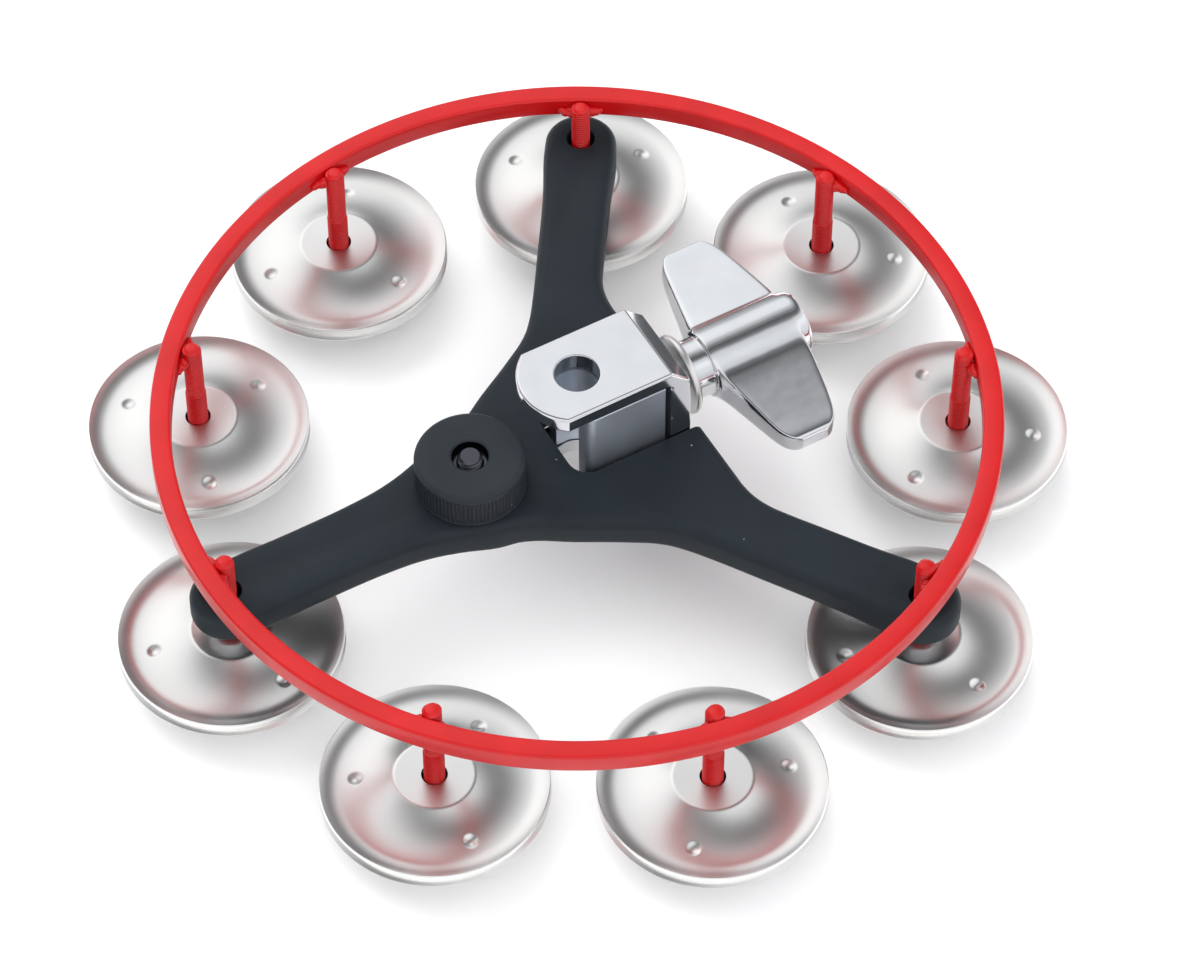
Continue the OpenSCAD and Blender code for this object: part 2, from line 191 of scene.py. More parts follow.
class StageSettings(bpy.types.PropertyGroup):
    distance: length("Distance", "Distance from the camera to its aim", 1.1593)
    elevation: bpy.props.FloatProperty(
        name="Elevation", description="Camera angle above the horizon",
        default=math.radians(52.662), unit="ROTATION",
    )
    azimuth: bpy.props.FloatProperty(
        name="Azimuth", description="Camera angle round the rod",
        default=math.radians(0.233), unit="ROTATION",
    )
    roll: bpy.props.FloatProperty(
        name="Roll", description="Turn of the camera about its own view",
        default=math.radians(0.194), unit="ROTATION",
    )
    lens: bpy.props.FloatProperty(
        name="Lens", description="Focal length on a 36 mm sensor", default=150.46, unit="CAMERA"
    )
    floor: colour("Floor", "Pale floor", (0.93, 0.93, 0.935))


class TambourineSettings(bpy.types.PropertyGroup):
    hoop: bpy.props.PointerProperty(type=HoopSettings, name="Hoop")
    jingle: bpy.props.PointerProperty(type=JingleSettings, name="Jingles")
    spider: bpy.props.PointerProperty(type=SpiderSettings, name="Spider")
    clamp: bpy.props.PointerProperty(type=ClampSettings, name="Clamp")
    knob: bpy.props.PointerProperty(type=KnobSettings, name="Knob")
    stage: bpy.props.PointerProperty(type=StageSettings, name="Stage")


def settings():
    """The settings of the scene that is open."""
    return bpy.context.scene.tambourine


# ------------------------------------------------------------------------- modelling aids

def deselect_all():
    """Leaves every object deselected, in object mode."""
    if bpy.context.object and bpy.context.mode != "OBJECT":
        bpy.ops.object.mode_set(mode="OBJECT")
    bpy.ops.object.select_all(action="DESELECT")


def activate(piece):
    """Makes one piece the only selected object."""
    deselect_all()
    piece.select_set(True)
    bpy.context.view_layer.objects.active = piece


def open_mesh(piece, mode):
    """Opens a piece in edit mode with nothing selected, ready to select VERT, EDGE or FACE."""
    activate(piece)
    bpy.ops.object.mode_set(mode="EDIT")
    bpy.ops.mesh.select_mode(type=mode)
    bpy.ops.mesh.select_all(action="DESELECT")


def close_mesh():
    """Back to object mode."""
    bpy.ops.object.mode_set(mode="OBJECT")


def pick(kind, test):
    """Selects, in the open mesh, the verts, edges or faces for which the test holds."""
    mesh = bpy.context.object.data
    shape = bmesh.from_edit_mesh(mesh)
    for part in getattr(shape, kind):
        part.select_set(False)
    for part in getattr(shape, kind):
        if test(part):
            part.select_set(True)
    bmesh.update_edit_mesh(mesh)


def middle(edge):
    """Middle of an edge."""
    return (edge.verts[0].co + edge.verts[1].co) / 2


def mend():
    """Merges doubles in the open mesh and turns every face outwards."""
    bpy.ops.mesh.select_all(action="SELECT")
    bpy.ops.mesh.remove_doubles(threshold=0.002 * MM)
    bpy.ops.mesh.normals_make_consistent(inside=False)


def draw_chain(points):
    """Draws edges through points: a plane merged to one vertex, then extruded point by point."""
    deselect_all()
    bpy.ops.mesh.primitive_plane_add(size=MM)
    bpy.ops.object.mode_set(mode="EDIT")
    bpy.ops.mesh.select_mode(type="VERT")
    bpy.ops.mesh.select_all(action="SELECT")
    bpy.ops.mesh.merge(type="CENTER")
    bpy.ops.transform.translate(value=points[0])
    for last, here in zip(points, points[1:]):
        step = Vector(here) - Vector(last)
        bpy.ops.mesh.extrude_region_move(TRANSFORM_OT_translate={"value": step})


def join_ends():
    """Closes the chain of the open mesh with an edge from its last vertex to its first."""
    shape = bmesh.from_edit_mesh(bpy.context.object.data)
    shape.verts.ensure_lookup_table()
    ends = (shape.verts[0], shape.verts[-1])
    pick("verts", lambda vert: vert in ends)
    bpy.ops.mesh.edge_face_add()


def turned(profile, steps, closed=True):
    """Turns a profile of (radius, height) points about Z. An open profile ends on the axis."""
    draw_chain([(radius, 0, height) for radius, height in profile])
    if closed:
        join_ends()
    bpy.ops.mesh.select_all(action="SELECT")
    bpy.ops.mesh.spin(steps=steps, angle=FULL_TURN, center=(0, 0, 0), axis=(0, 0, 1))
    mend()
    close_mesh()
    return bpy.context.object


def prism(outline, low, high):
    """A closed solid with that outline in XY, from one height to another."""
    draw_chain([(x, y, low) for x, y in outline])
    join_ends()
    bpy.ops.mesh.select_all(action="SELECT")
    bpy.ops.mesh.edge_face_add()
    bpy.ops.mesh.extrude_region_move(TRANSFORM_OT_translate={"value": (0, 0, high - low)})
    mend()
    close_mesh()
    return bpy.context.object


def rounded(corners, segments=6, closed=True):
    """An outline from (x, y, radius) corners, each corner turned into an arc."""
    outline = []
    for index, (x, y, radius) in enumerate(corners):
        corner = Vector((x, y))
        if radius == 0 or (not closed and index in (0, len(corners) - 1)):
            outline.append(corner)
            continue
        before = (Vector(corners[index - 1][:2]) - corner).normalized()
        after = (Vector(corners[(index + 1) % len(corners)][:2]) - corner).normalized()
        half_angle = before.angle(after) / 2
        centre = corner + (before + after).normalized() * radius / math.sin(half_angle)
        start = corner + before * radius / math.tan(half_angle) - centre
        end = corner + after * radius / math.tan(half_angle) - centre
        sweep = math.atan2(start.x * end.y - start.y * end.x, start.dot(end))
        for step in range(segments + 1):
            turn = math.atan2(start.y, start.x) + sweep * step / segments
            outline.append(centre + Vector((math.cos(turn), math.sin(turn))) * radius)
    return outline


def arc(centre, radius, start, end, segments):
    """Points on an arc in XY, from one angle to another in degrees."""
    angles = [math.radians(start + (end - start) * n / segments) for n in range(segments + 1)]
    return [(centre[0] + radius * math.cos(a), centre[1] + radius * math.sin(a)) for a in angles]


def apply_modifier(piece, kind, **values):
    """Adds one modifier to a piece with the values given and applies it."""
    activate(piece)
    bpy.ops.object.modifier_add(type=kind)
    modifier = piece.modifiers[-1]
    for name, value in values.items():
        setattr(modifier, name, value)
    bpy.ops.object.modifier_apply(modifier=modifier.name)


def combine(piece, tool, operation):
    """Joins, cuts or trims a piece with a tool, which is used up."""
    apply_modifier(piece, "BOOLEAN", object=tool, operation=operation, solver="EXACT")
    bpy.data.objects.remove(tool)


def drill(piece, radius, base, depth, axis="Z", sides=64):
    """Drills a round hole that starts at a base point and goes along +Z or +X."""
    deselect_all()
    turn = (0, math.pi / 2, 0) if axis == "X" else (0, 0, 0)
    along = Vector((1, 0, 0)) if axis == "X" else Vector((0, 0, 1))
    bpy.ops.mesh.primitive_cylinder_add(
        vertices=sides, radius=radius, depth=depth,
        location=Vector(base) + along * depth / 2, rotation=turn,
    )
    combine(piece, bpy.context.object, "DIFFERENCE")


def soften(piece, test, width, segments):
    """Rounds the edges of a piece whose edge test holds."""
    open_mesh(piece, "EDGE")
    pick("edges", test)
    bpy.ops.mesh.bevel(offset=width, segments=segments, affect="EDGES", clamp_overlap=True)
    close_mesh()


def sharp(edge, degrees=30):
    """True where two faces meet at more than that angle."""
    return len(edge.link_faces) == 2 and edge.calc_face_angle(0) > math.radians(degrees)


def tidy_faces(piece, degrees=0.5):
    """Joins the flat faces of a piece, so that bevels run cleanly."""
    open_mesh(piece, "FACE")
    mend()
    bpy.ops.mesh.select_all(action="SELECT")
    bpy.ops.mesh.dissolve_limited(angle_limit=math.radians(degrees))
    close_mesh()


def set_matrix(piece, matrix):
    """Puts a piece in place and moves that place into its mesh."""
    activate(piece)
    piece.matrix_world = matrix
    bpy.ops.object.transform_apply(location=True, rotation=True, scale=True)


def copy_of(piece):
    """A copy of a piece with its own mesh."""
    activate(piece)
    bpy.ops.object.duplicate(linked=False)
    return bpy.context.object


def hand_over(piece, name, body, node, material, smooth=35, level=False):
    """Names a finished piece, gives it its material and lets it ride on its body.

    level keeps the shading of large flat faces flat right up to their rounded edges.
    """
    activate(piece)
    bpy.ops.object.transform_apply(location=True, rotation=True, scale=True)
    bpy.ops.object.shade_smooth_by_angle(angle=math.radians(smooth))
    if level:
        apply_modifier(piece, "WEIGHTED_NORMAL", weight=100, keep_sharp=True)
    piece.name = name
    piece.data.name = name
    piece.data.materials.clear()
    piece.data.materials.append(material)
    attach(piece, body)
    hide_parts(node)
    deselect_all()


def at_places(piece, places, name, node, material, smooth=35, turn=None):
    """Copies a piece modelled on the Z axis to every place of the stud circle."""
    circle = Matrix.Translation((settings().hoop.stud_circle, 0, 0))
    for place in places:
        own_turn = Matrix.Rotation(turn(place) if turn else 0, 4, "Z")
        copy = copy_of(piece)
        set_matrix(copy, Matrix.Rotation(place_azimuth(place), 4, "Z") @ circle @ own_turn)
        hand_over(copy, f"{name}_{place}", "frame", node, material, smooth)
    bpy.data.objects.remove(piece)


def clamp_matrix():
    """Turns the clamp's own axes into the model's."""
    return Matrix.Rotation(CLAMP_AZIMUTH, 4, "Z")


def threaded_rod(low, high, pitch, root, crest, limit, steps=24):
    """A threaded rod along Z. limit(z) is the radius that nothing at that height goes past."""
    profile = [(root, 0), (root, 0.12), (crest, 0.44), (crest, 0.62), (root, 0.94), (root, 1)]
    draw_chain([(radius, 0, share_up * pitch) for radius, share_up in profile])
    close_mesh()
    rod = bpy.context.object
    apply_modifier(
        rod, "SCREW", axis="Z", angle=FULL_TURN, screw_offset=pitch, steps=steps,
        render_steps=steps, iterations=math.ceil((high - low) / pitch) + 2,
        use_merge_vertices=True, merge_threshold=0.001 * MM,
    )
    set_matrix(rod, Matrix.Translation((0, 0, low - 1.5 * pitch)))
    for height, side in ((low, -1), (high, 1)):
        open_mesh(rod, "FACE")
        bpy.ops.mesh.select_all(action="SELECT")
        bpy.ops.mesh.bisect(
            plane_co=(0, 0, height), plane_no=(0, 0, side), use_fill=True, clear_outer=True,
            threshold=0.0001 * MM,
        )
        close_mesh()
    for vert in rod.data.vertices:
        radius = math.hypot(vert.co.x, vert.co.y)
        kept = min(radius, limit(vert.co.z))
        vert.co.x *= kept / radius
        vert.co.y *= kept / radius
    open_mesh(rod, "VERT")
    mend()
    close_mesh()
    return rod


def chamfered(height, low, high, body, chamfer):
    """Radius of a rod's body at a height, less a chamfer at both ends."""
    return body - max(0, chamfer - (height - low), chamfer - (high - height))


def hex_nut(low, high, flats, bore, collar=0.0):
    """A hexagon nut with chamfered corners. collar is the height of its round lower end.

    A plain nut is bored before its edges are rounded, and a collared one after.
    """
    across = flats / math.cos(math.pi / 6)
    deselect_all()
    bpy.ops.mesh.primitive_cylinder_add(
        vertices=6, radius=across / 2, depth=high - low, location=(0, 0, (high + low) / 2),
    )
    nut = bpy.context.object
    bpy.ops.object.transform_apply(location=True)
    drop = (across - flats) / 2 * math.tan(math.radians(30))
    skirt = []
    if collar:
        skirt = [
            (0, low), (flats / 2 - 0.9 * MM, low), (flats / 2 - 0.35 * MM, low + 0.25 * MM),
            (flats / 2 - 0.1 * MM, low + 0.8 * MM), (flats / 2 - 0.1 * MM, low + collar),
        ]
    body = [
        (flats / 2, low + collar), (across / 2, low + collar + drop), (across / 2, high - drop),
        (flats / 2, high), (0, high),
    ]
    cone = turned((skirt or [(0, low)]) + body, 96, closed=False)
    combine(nut, cone, "INTERSECT")
    above = low + collar + 0.05 * MM if collar else low - MM
    if not collar:
        drill(nut, bore, (0, 0, low - MM), high - low + 2 * MM, sides=48)
    soften(nut, lambda edge: sharp(edge, 25) and middle(edge).z > above, 0.12 * MM, 2)
    if collar:
        drill(nut, bore, (0, 0, low - MM), high - low + 2 * MM, sides=48)
    return nut


def flat_ring(low, high, outer, inner, edge, steps=72):
    """A washer with rounded edges, modelled about Z."""
    corners = [(inner, low, edge), (outer, low, edge), (outer, high, edge), (inner, high, edge)]
    return turned(rounded(corners, 4), steps)


# ------------------------------------------------------------------------------ materials

def red_enamel(name, paint, seed):
    """Semi-gloss enamel over steel: slow orange peel, small specks and a little uneven gloss."""
    material = bpy.data.materials.new(name)
    material.use_nodes = True
    tree = material.node_tree
    tree.nodes.clear()
    output = tree.nodes.new("ShaderNodeOutputMaterial")
    output.label = "Surface of the piece"
    output.location = (900, 0)
    shader = tree.nodes.new("ShaderNodeBsdfPrincipled")
    shader.label = "Red enamel"
    shader.location = (600, 0)
    tree.links.new(shader.outputs["BSDF"], output.inputs["Surface"])
    shader.inputs["Coat Weight"].default_value = 0.16
    shader.inputs["Coat Roughness"].default_value = 0.12
    shader.inputs["Specular IOR Level"].default_value = 0.36

    place = tree.nodes.new("ShaderNodeTexCoord")
    place.label = "Place on the piece"
    place.location = (-900, 0)
    shift = tree.nodes.new("ShaderNodeMapping")
    shift.label = "Own patch of the pattern"
    shift.location = (-700, 0)
    shift.inputs["Location"].default_value = (seed, 2 * seed, 0)
    tree.links.new(place.outputs["Object"], shift.inputs["Vector"])

    drift = tree.nodes.new("ShaderNodeTexNoise")
    drift.label = "Slow drift of the paint's depth"
    drift.location = (-450, 250)
    drift.inputs["Scale"].default_value = 90
    drift.inputs["Detail"].default_value = 3
    tint = tree.nodes.new("ShaderNodeValToRGB")
    tint.label = "Thin to thick paint"
    tint.location = (-200, 250)
    tint.color_ramp.elements[0].position = 0.3
    tint.color_ramp.elements[0].color = (paint[0] * 0.88, paint[1] * 0.7, paint[2] * 0.7, 1)
    tint.color_ramp.elements[1].position = 0.75
    tint.color_ramp.elements[1].color = (paint[0] * 1.05, paint[1] * 1.25, paint[2] * 1.2, 1)
    tree.links.new(shift.outputs["Vector"], drift.inputs["Vector"])
    tree.links.new(drift.outputs["Fac"], tint.inputs["Fac"])
    tree.links.new(tint.outputs["Color"], shader.inputs["Base Color"])
    group = tree.nodes.new("NodeFrame")
    group.label = "Colour"
    for node in (drift, tint):
        node.parent = group

    gloss = tree.nodes.new("ShaderNodeMapRange")
    gloss.label = "Uneven gloss"
    gloss.location = (-200, -20)
    gloss.inputs["To Min"].default_value = 0.24
    gloss.inputs["To Max"].default_value = 0.4
    tree.links.new(drift.outputs["Fac"], gloss.inputs["Value"])
    tree.links.new(gloss.outputs["Result"], shader.inputs["Roughness"])

    peel = tree.nodes.new("ShaderNodeTexNoise")
    peel.label = "Orange peel"
    peel.location = (-450, -250)
    peel.inputs["Scale"].default_value = 620
    peel.inputs["Detail"].default_value = 2
    nibs = tree.nodes.new("ShaderNodeTexVoronoi")
    nibs.label = "Dust nibs under the paint"
    nibs.location = (-450, -500)
    nibs.inputs["Scale"].default_value = 260
    nib_size = tree.nodes.new("ShaderNodeMapRange")
    nib_size.label = "Only the heart of a few cells"
    nib_size.location = (-200, -500)
    nib_size.inputs["From Min"].default_value = 0.0
    nib_size.inputs["From Max"].default_value = 0.13
    nib_size.inputs["To Min"].default_value = 1.0
    nib_size.inputs["To Max"].default_value = 0.0
    relief = tree.nodes.new("ShaderNodeMath")
    relief.label = "Peel and nibs together"
    relief.location = (50, -350)
    relief.operation = "MULTIPLY_ADD"
    relief.inputs[1].default_value = 0.5
    bump = tree.nodes.new("ShaderNodeBump")
    bump.label = "Relief of the paint film"
    bump.location = (300, -300)
    bump.inputs["Strength"].default_value = 0.35
    bump.inputs["Distance"].default_value = 0.06 * MM
    tree.links.new(shift.outputs["Vector"], peel.inputs["Vector"])
    tree.links.new(shift.outputs["Vector"], nibs.inputs["Vector"])
    tree.links.new(nibs.outputs["Distance"], nib_size.inputs["Value"])
    tree.links.new(nib_size.outputs["Result"], relief.inputs[0])
    tree.links.new(peel.outputs["Fac"], relief.inputs[2])
    tree.links.new(relief.outputs["Value"], bump.inputs["Height"])
    tree.links.new(bump.outputs["Normal"], shader.inputs["Normal"])
    group = tree.nodes.new("NodeFrame")
    group.label = "Relief"
    for node in (peel, nibs, nib_size, relief, bump):
        node.parent = group
    return material


def spun_steel(name, steel):
    """Satin sheet steel with fine rings from spinning, on a UV map of turns by radius."""
    material = bpy.data.materials.new(name)
    material.use_nodes = True
    tree = material.node_tree
    tree.nodes.clear()
    output = tree.nodes.new("ShaderNodeOutputMaterial")
    output.label = "Surface of the piece"
    output.location = (900, 0)
    shader = tree.nodes.new("ShaderNodeBsdfPrincipled")
    shader.label = "Bare steel"
    shader.location = (600, 0)
    tree.links.new(shader.outputs["BSDF"], output.inputs["Surface"])
    shader.inputs["Metallic"].default_value = 1.0
    shader.inputs["Anisotropic"].default_value = 0.45

    turns = tree.nodes.new("ShaderNodeUVMap")
    turns.label = "Turns round the disc and radius"
    turns.location = (-1100, 0)
    turns.uv_map = "turns"
    stretch = tree.nodes.new("ShaderNodeMapping")
    stretch.label = "Long round the disc, fine across it"
    stretch.location = (-900, 0)
    stretch.inputs["Scale"].default_value = (0, 900, 1)
    rings = tree.nodes.new("ShaderNodeTexNoise")
    rings.label = "Spinning marks"
    rings.location = (-650, -200)
    rings.inputs["Scale"].default_value = 1.0
    rings.inputs["Detail"].default_value = 4
    rings.inputs["Roughness"].default_value = 0.65
    bump = tree.nodes.new("ShaderNodeBump")
    bump.label = "Depth of the marks"
    bump.location = (300, -300)
    bump.inputs["Strength"].default_value = 0.12
    bump.inputs["Distance"].default_value = 0.02 * MM
    tree.links.new(turns.outputs["UV"], stretch.inputs["Vector"])
    tree.links.new(stretch.outputs["Vector"], rings.inputs["Vector"])
    tree.links.new(rings.outputs["Fac"], bump.inputs["Height"])
    tree.links.new(bump.outputs["Normal"], shader.inputs["Normal"])
    grain = tree.nodes.new("ShaderNodeTangent")
    grain.label = "The grain runs round the disc"
    grain.location = (300, -520)
    grain.direction_type = "UV_MAP"
    grain.uv_map = "turns"
    tree.links.new(grain.outputs["Tangent"], shader.inputs["Tangent"])
    group = tree.nodes.new("NodeFrame")
    group.label = "Spinning marks"
    for node in (turns, stretch, rings, bump, grain):
        node.parent = group

    place = tree.nodes.new("ShaderNodeTexCoord")
    place.label = "Place on the piece"
    place.location = (-900, 350)
    stain = tree.nodes.new("ShaderNodeTexNoise")
    stain.label = "Faint handling marks"
    stain.location = (-650, 350)
    stain.inputs["Scale"].default_value = 70
    stain.inputs["Detail"].default_value = 5
    tint = tree.nodes.new("ShaderNodeValToRGB")
    tint.label = "Slight warmth of the steel"
    tint.location = (-350, 350)
    tint.color_ramp.elements[0].position = 0.35
    tint.color_ramp.elements[0].color = (steel[0] * 0.94, steel[1] * 0.94, steel[2] * 0.93, 1)
    tint.color_ramp.elements[1].position = 0.7
    tint.color_ramp.elements[1].color = (*steel, 1)
    satin = tree.nodes.new("ShaderNodeMapRange")
    satin.label = "Satin, a little uneven"
    satin.location = (-350, 80)
    satin.inputs["To Min"].default_value = 0.26
    satin.inputs["To Max"].default_value = 0.38
    tree.links.new(place.outputs["Object"], stain.inputs["Vector"])
    tree.links.new(stain.outputs["Fac"], tint.inputs["Fac"])
    tree.links.new(stain.outputs["Fac"], satin.inputs["Value"])
    tree.links.new(tint.outputs["Color"], shader.inputs["Base Color"])
    tree.links.new(satin.outputs["Result"], shader.inputs["Roughness"])
    group = tree.nodes.new("NodeFrame")
    group.label = "Colour and gloss"
    for node in (place, stain, tint, satin):
        node.parent = group
    return material


def charcoal_moulding(name, plastic):
    """Matt moulded plastic with a fine leathery grain and a few pale specks."""
    material = bpy.data.materials.new(name)
    material.use_nodes = True
    tree = material.node_tree
    tree.nodes.clear()
    output = tree.nodes.new("ShaderNodeOutputMaterial")
    output.label = "Surface of the piece"
    output.location = (900, 0)
    shader = tree.nodes.new("ShaderNodeBsdfPrincipled")
    shader.label = "Charcoal plastic"
    shader.location = (600, 0)
    tree.links.new(shader.outputs["BSDF"], output.inputs["Surface"])
    shader.inputs["Specular IOR Level"].default_value = 0.2

    place = tree.nodes.new("ShaderNodeTexCoord")
    place.label = "Place on the piece"
    place.location = (-1000, 0)
    cloud = tree.nodes.new("ShaderNodeTexNoise")
    cloud.label = "Slow change of the moulding's tone"
    cloud.location = (-700, 350)
    cloud.inputs["Scale"].default_value = 45
    cloud.inputs["Detail"].default_value = 4
    tone = tree.nodes.new("ShaderNodeValToRGB")
    tone.label = "Charcoal, darker to lighter"
    tone.location = (-450, 350)
    tone.color_ramp.elements[0].position = 0.3
    tone.color_ramp.elements[0].color = (plastic[0] * 0.8, plastic[1] * 0.8, plastic[2] * 0.82, 1)
    tone.color_ramp.elements[1].position = 0.75
    tone.color_ramp.elements[1].color = (plastic[0] * 1.2, plastic[1] * 1.2, plastic[2] * 1.2, 1)
    cells = tree.nodes.new("ShaderNodeTexVoronoi")
    cells.label = "Scattered dust"
    cells.location = (-700, 60)
    cells.inputs["Scale"].default_value = 170
    heart = tree.nodes.new("ShaderNodeMath")
    heart.label = "Heart of each cell"
    heart.location = (-450, 60)
    heart.operation = "LESS_THAN"
    heart.inputs[1].default_value = 0.035
    rare = tree.nodes.new("ShaderNodeMath")
    rare.label = "Only where the tone is pale"
    rare.location = (-450, -120)
    rare.operation = "GREATER_THAN"
    rare.inputs[1].default_value = 0.53
    speck = tree.nodes.new("ShaderNodeMath")
    speck.label = "Specks"
    speck.location = (-250, 0)
    speck.operation = "MULTIPLY"
    dusted = tree.nodes.new("ShaderNodeMix")
    dusted.label = "Dust over the plastic"
    dusted.location = (0, 200)
    dusted.data_type = "RGBA"
    dusted.inputs[7].default_value = (0.35, 0.37, 0.38, 1)
    tree.links.new(place.outputs["Object"], cloud.inputs["Vector"])
    tree.links.new(place.outputs["Object"], cells.inputs["Vector"])
    tree.links.new(cloud.outputs["Fac"], tone.inputs["Fac"])
    tree.links.new(cloud.outputs["Fac"], rare.inputs[0])
    tree.links.new(cells.outputs["Distance"], heart.inputs[0])
    tree.links.new(heart.outputs["Value"], speck.inputs[0])
    tree.links.new(rare.outputs["Value"], speck.inputs[1])
    tree.links.new(speck.outputs["Value"], dusted.inputs[0])
    tree.links.new(tone.outputs["Color"], dusted.inputs[6])
    tree.links.new(dusted.outputs[2], shader.inputs["Base Color"])
    group = tree.nodes.new("NodeFrame")
    group.label = "Colour and dust"
    for node in (cloud, tone, cells, heart, rare, speck, dusted):
        node.parent = group

    grain = tree.nodes.new("ShaderNodeTexNoise")
    grain.label = "Sparked mould grain"
    grain.location = (-450, -350)
    grain.inputs["Scale"].default_value = 2300
    grain.inputs["Detail"].default_value = 3
    grain.inputs["Roughness"].default_value = 0.6
    matt = tree.nodes.new("ShaderNodeMapRange")
    matt.label = "Matt, polished a little in patches"
    matt.location = (-200, -250)
    matt.inputs["To Min"].default_value = 0.42
    matt.inputs["To Max"].default_value = 0.58
    bump = tree.nodes.new("ShaderNodeBump")
    bump.label = "Depth of the grain"
    bump.location = (300, -350)
    bump.inputs["Strength"].default_value = 0.3
    bump.inputs["Distance"].default_value = 0.04 * MM
    tree.links.new(place.outputs["Object"], grain.inputs["Vector"])
    tree.links.new(cloud.outputs["Fac"], matt.inputs["Value"])
    tree.links.new(matt.outputs["Result"], shader.inputs["Roughness"])
    tree.links.new(grain.outputs["Fac"], bump.inputs["Height"])
    tree.links.new(bump.outputs["Normal"], shader.inputs["Normal"])
    group = tree.nodes.new("NodeFrame")
    group.label = "Grain"
    for node in (grain, matt, bump):
        node.parent = group
    return material


def plated(name, tint, smoothest, roughest, ripple, ripple_scale):
    """Plated metal: hand-polished ripple, and a gloss that changes a little over the surface."""
    material = bpy.data.materials.new(name)
    material.use_nodes = True
    tree = material.node_tree
    tree.nodes.clear()
    output = tree.nodes.new("ShaderNodeOutputMaterial")
    output.label = "Surface of the piece"
    output.location = (900, 0)
    shader = tree.nodes.new("ShaderNodeBsdfPrincipled")
    shader.label = "Plated metal"
    shader.location = (600, 0)
    tree.links.new(shader.outputs["BSDF"], output.inputs["Surface"])
    shader.inputs["Metallic"].default_value = 1.0

    place = tree.nodes.new("ShaderNodeTexCoord")
    place.label = "Place on the piece"
    place.location = (-900, 0)
    haze = tree.nodes.new("ShaderNodeTexNoise")
    haze.label = "Polishing haze"
    haze.location = (-650, 250)
    haze.inputs["Scale"].default_value = 120
    haze.inputs["Detail"].default_value = 5
    depth = tree.nodes.new("ShaderNodeValToRGB")
    depth.label = "Plating, darker to lighter"
    depth.location = (-350, 300)
    depth.color_ramp.elements[0].position = 0.25
    depth.color_ramp.elements[0].color = (tint[0] * 0.93, tint[1] * 0.93, tint[2] * 0.94, 1)
    depth.color_ramp.elements[1].position = 0.7
    depth.color_ramp.elements[1].color = (*tint, 1)
    gloss = tree.nodes.new("ShaderNodeMapRange")
    gloss.label = "Uneven gloss"
    gloss.location = (-350, 30)
    gloss.inputs["To Min"].default_value = smoothest
    gloss.inputs["To Max"].default_value = roughest
    tree.links.new(place.outputs["Object"], haze.inputs["Vector"])
    tree.links.new(haze.outputs["Fac"], depth.inputs["Fac"])
    tree.links.new(haze.outputs["Fac"], gloss.inputs["Value"])
    tree.links.new(depth.outputs["Color"], shader.inputs["Base Color"])
    tree.links.new(gloss.outputs["Result"], shader.inputs["Roughness"])
    group = tree.nodes.new("NodeFrame")
    group.label = "Colour and gloss"
    for node in (haze, depth, gloss):
        node.parent = group

    wave = tree.nodes.new("ShaderNodeTexNoise")
    wave.label = "Ripple left by polishing"
    wave.location = (-350, -300)
    wave.inputs["Scale"].default_value = ripple_scale
    wave.inputs["Detail"].default_value = 2
    bump = tree.nodes.new("ShaderNodeBump")
    bump.label = "Depth of the ripple"
    bump.location = (300, -300)
    bump.inputs["Strength"].default_value = 0.25
    bump.inputs["Distance"].default_value = ripple
    tree.links.new(place.outputs["Object"], wave.inputs["Vector"])
    tree.links.new(wave.outputs["Fac"], bump.inputs["Height"])
    tree.links.new(bump.outputs["Normal"], shader.inputs["Normal"])
    group = tree.nodes.new("NodeFrame")
    group.label = "Ripple"
    for node in (wave, bump):
        node.parent = group
    return material


def natural_nylon(name):
    """Milky nylon with a soft, uneven surface."""
    material = bpy.data.materials.new(name)
    material.use_nodes = True
    tree = material.node_tree
    tree.nodes.clear()
    output = tree.nodes.new("ShaderNodeOutputMaterial")
    output.label = "Surface of the piece"
    output.location = (900, 0)
    shader = tree.nodes.new("ShaderNodeBsdfPrincipled")
    shader.label = "Nylon"
    shader.location = (600, 0)
    tree.links.new(shader.outputs["BSDF"], output.inputs["Surface"])
    shader.inputs["Roughness"].default_value = 0.38
    shader.inputs["Subsurface Weight"].default_value = 0.15
    shader.inputs["Subsurface Scale"].default_value = MM

    place = tree.nodes.new("ShaderNodeTexCoord")
    place.label = "Place on the piece"
    place.location = (-700, 0)
    cloud = tree.nodes.new("ShaderNodeTexNoise")
    cloud.label = "Milky cloud"
    cloud.location = (-450, 0)
    cloud.inputs["Scale"].default_value = 400
    milk = tree.nodes.new("ShaderNodeValToRGB")
    milk.label = "Milk to bone"
    milk.location = (-150, 100)
    milk.color_ramp.elements[0].color = (0.72, 0.72, 0.68, 1)
    milk.color_ramp.elements[1].color = (0.86, 0.87, 0.88, 1)
    tree.links.new(place.outputs["Object"], cloud.inputs["Vector"])
    tree.links.new(cloud.outputs["Fac"], milk.inputs["Fac"])
    tree.links.new(milk.outputs["Color"], shader.inputs["Base Color"])
    group = tree.nodes.new("NodeFrame")
    group.label = "Colour"
    for node in (cloud, milk):
        node.parent = group
    return material


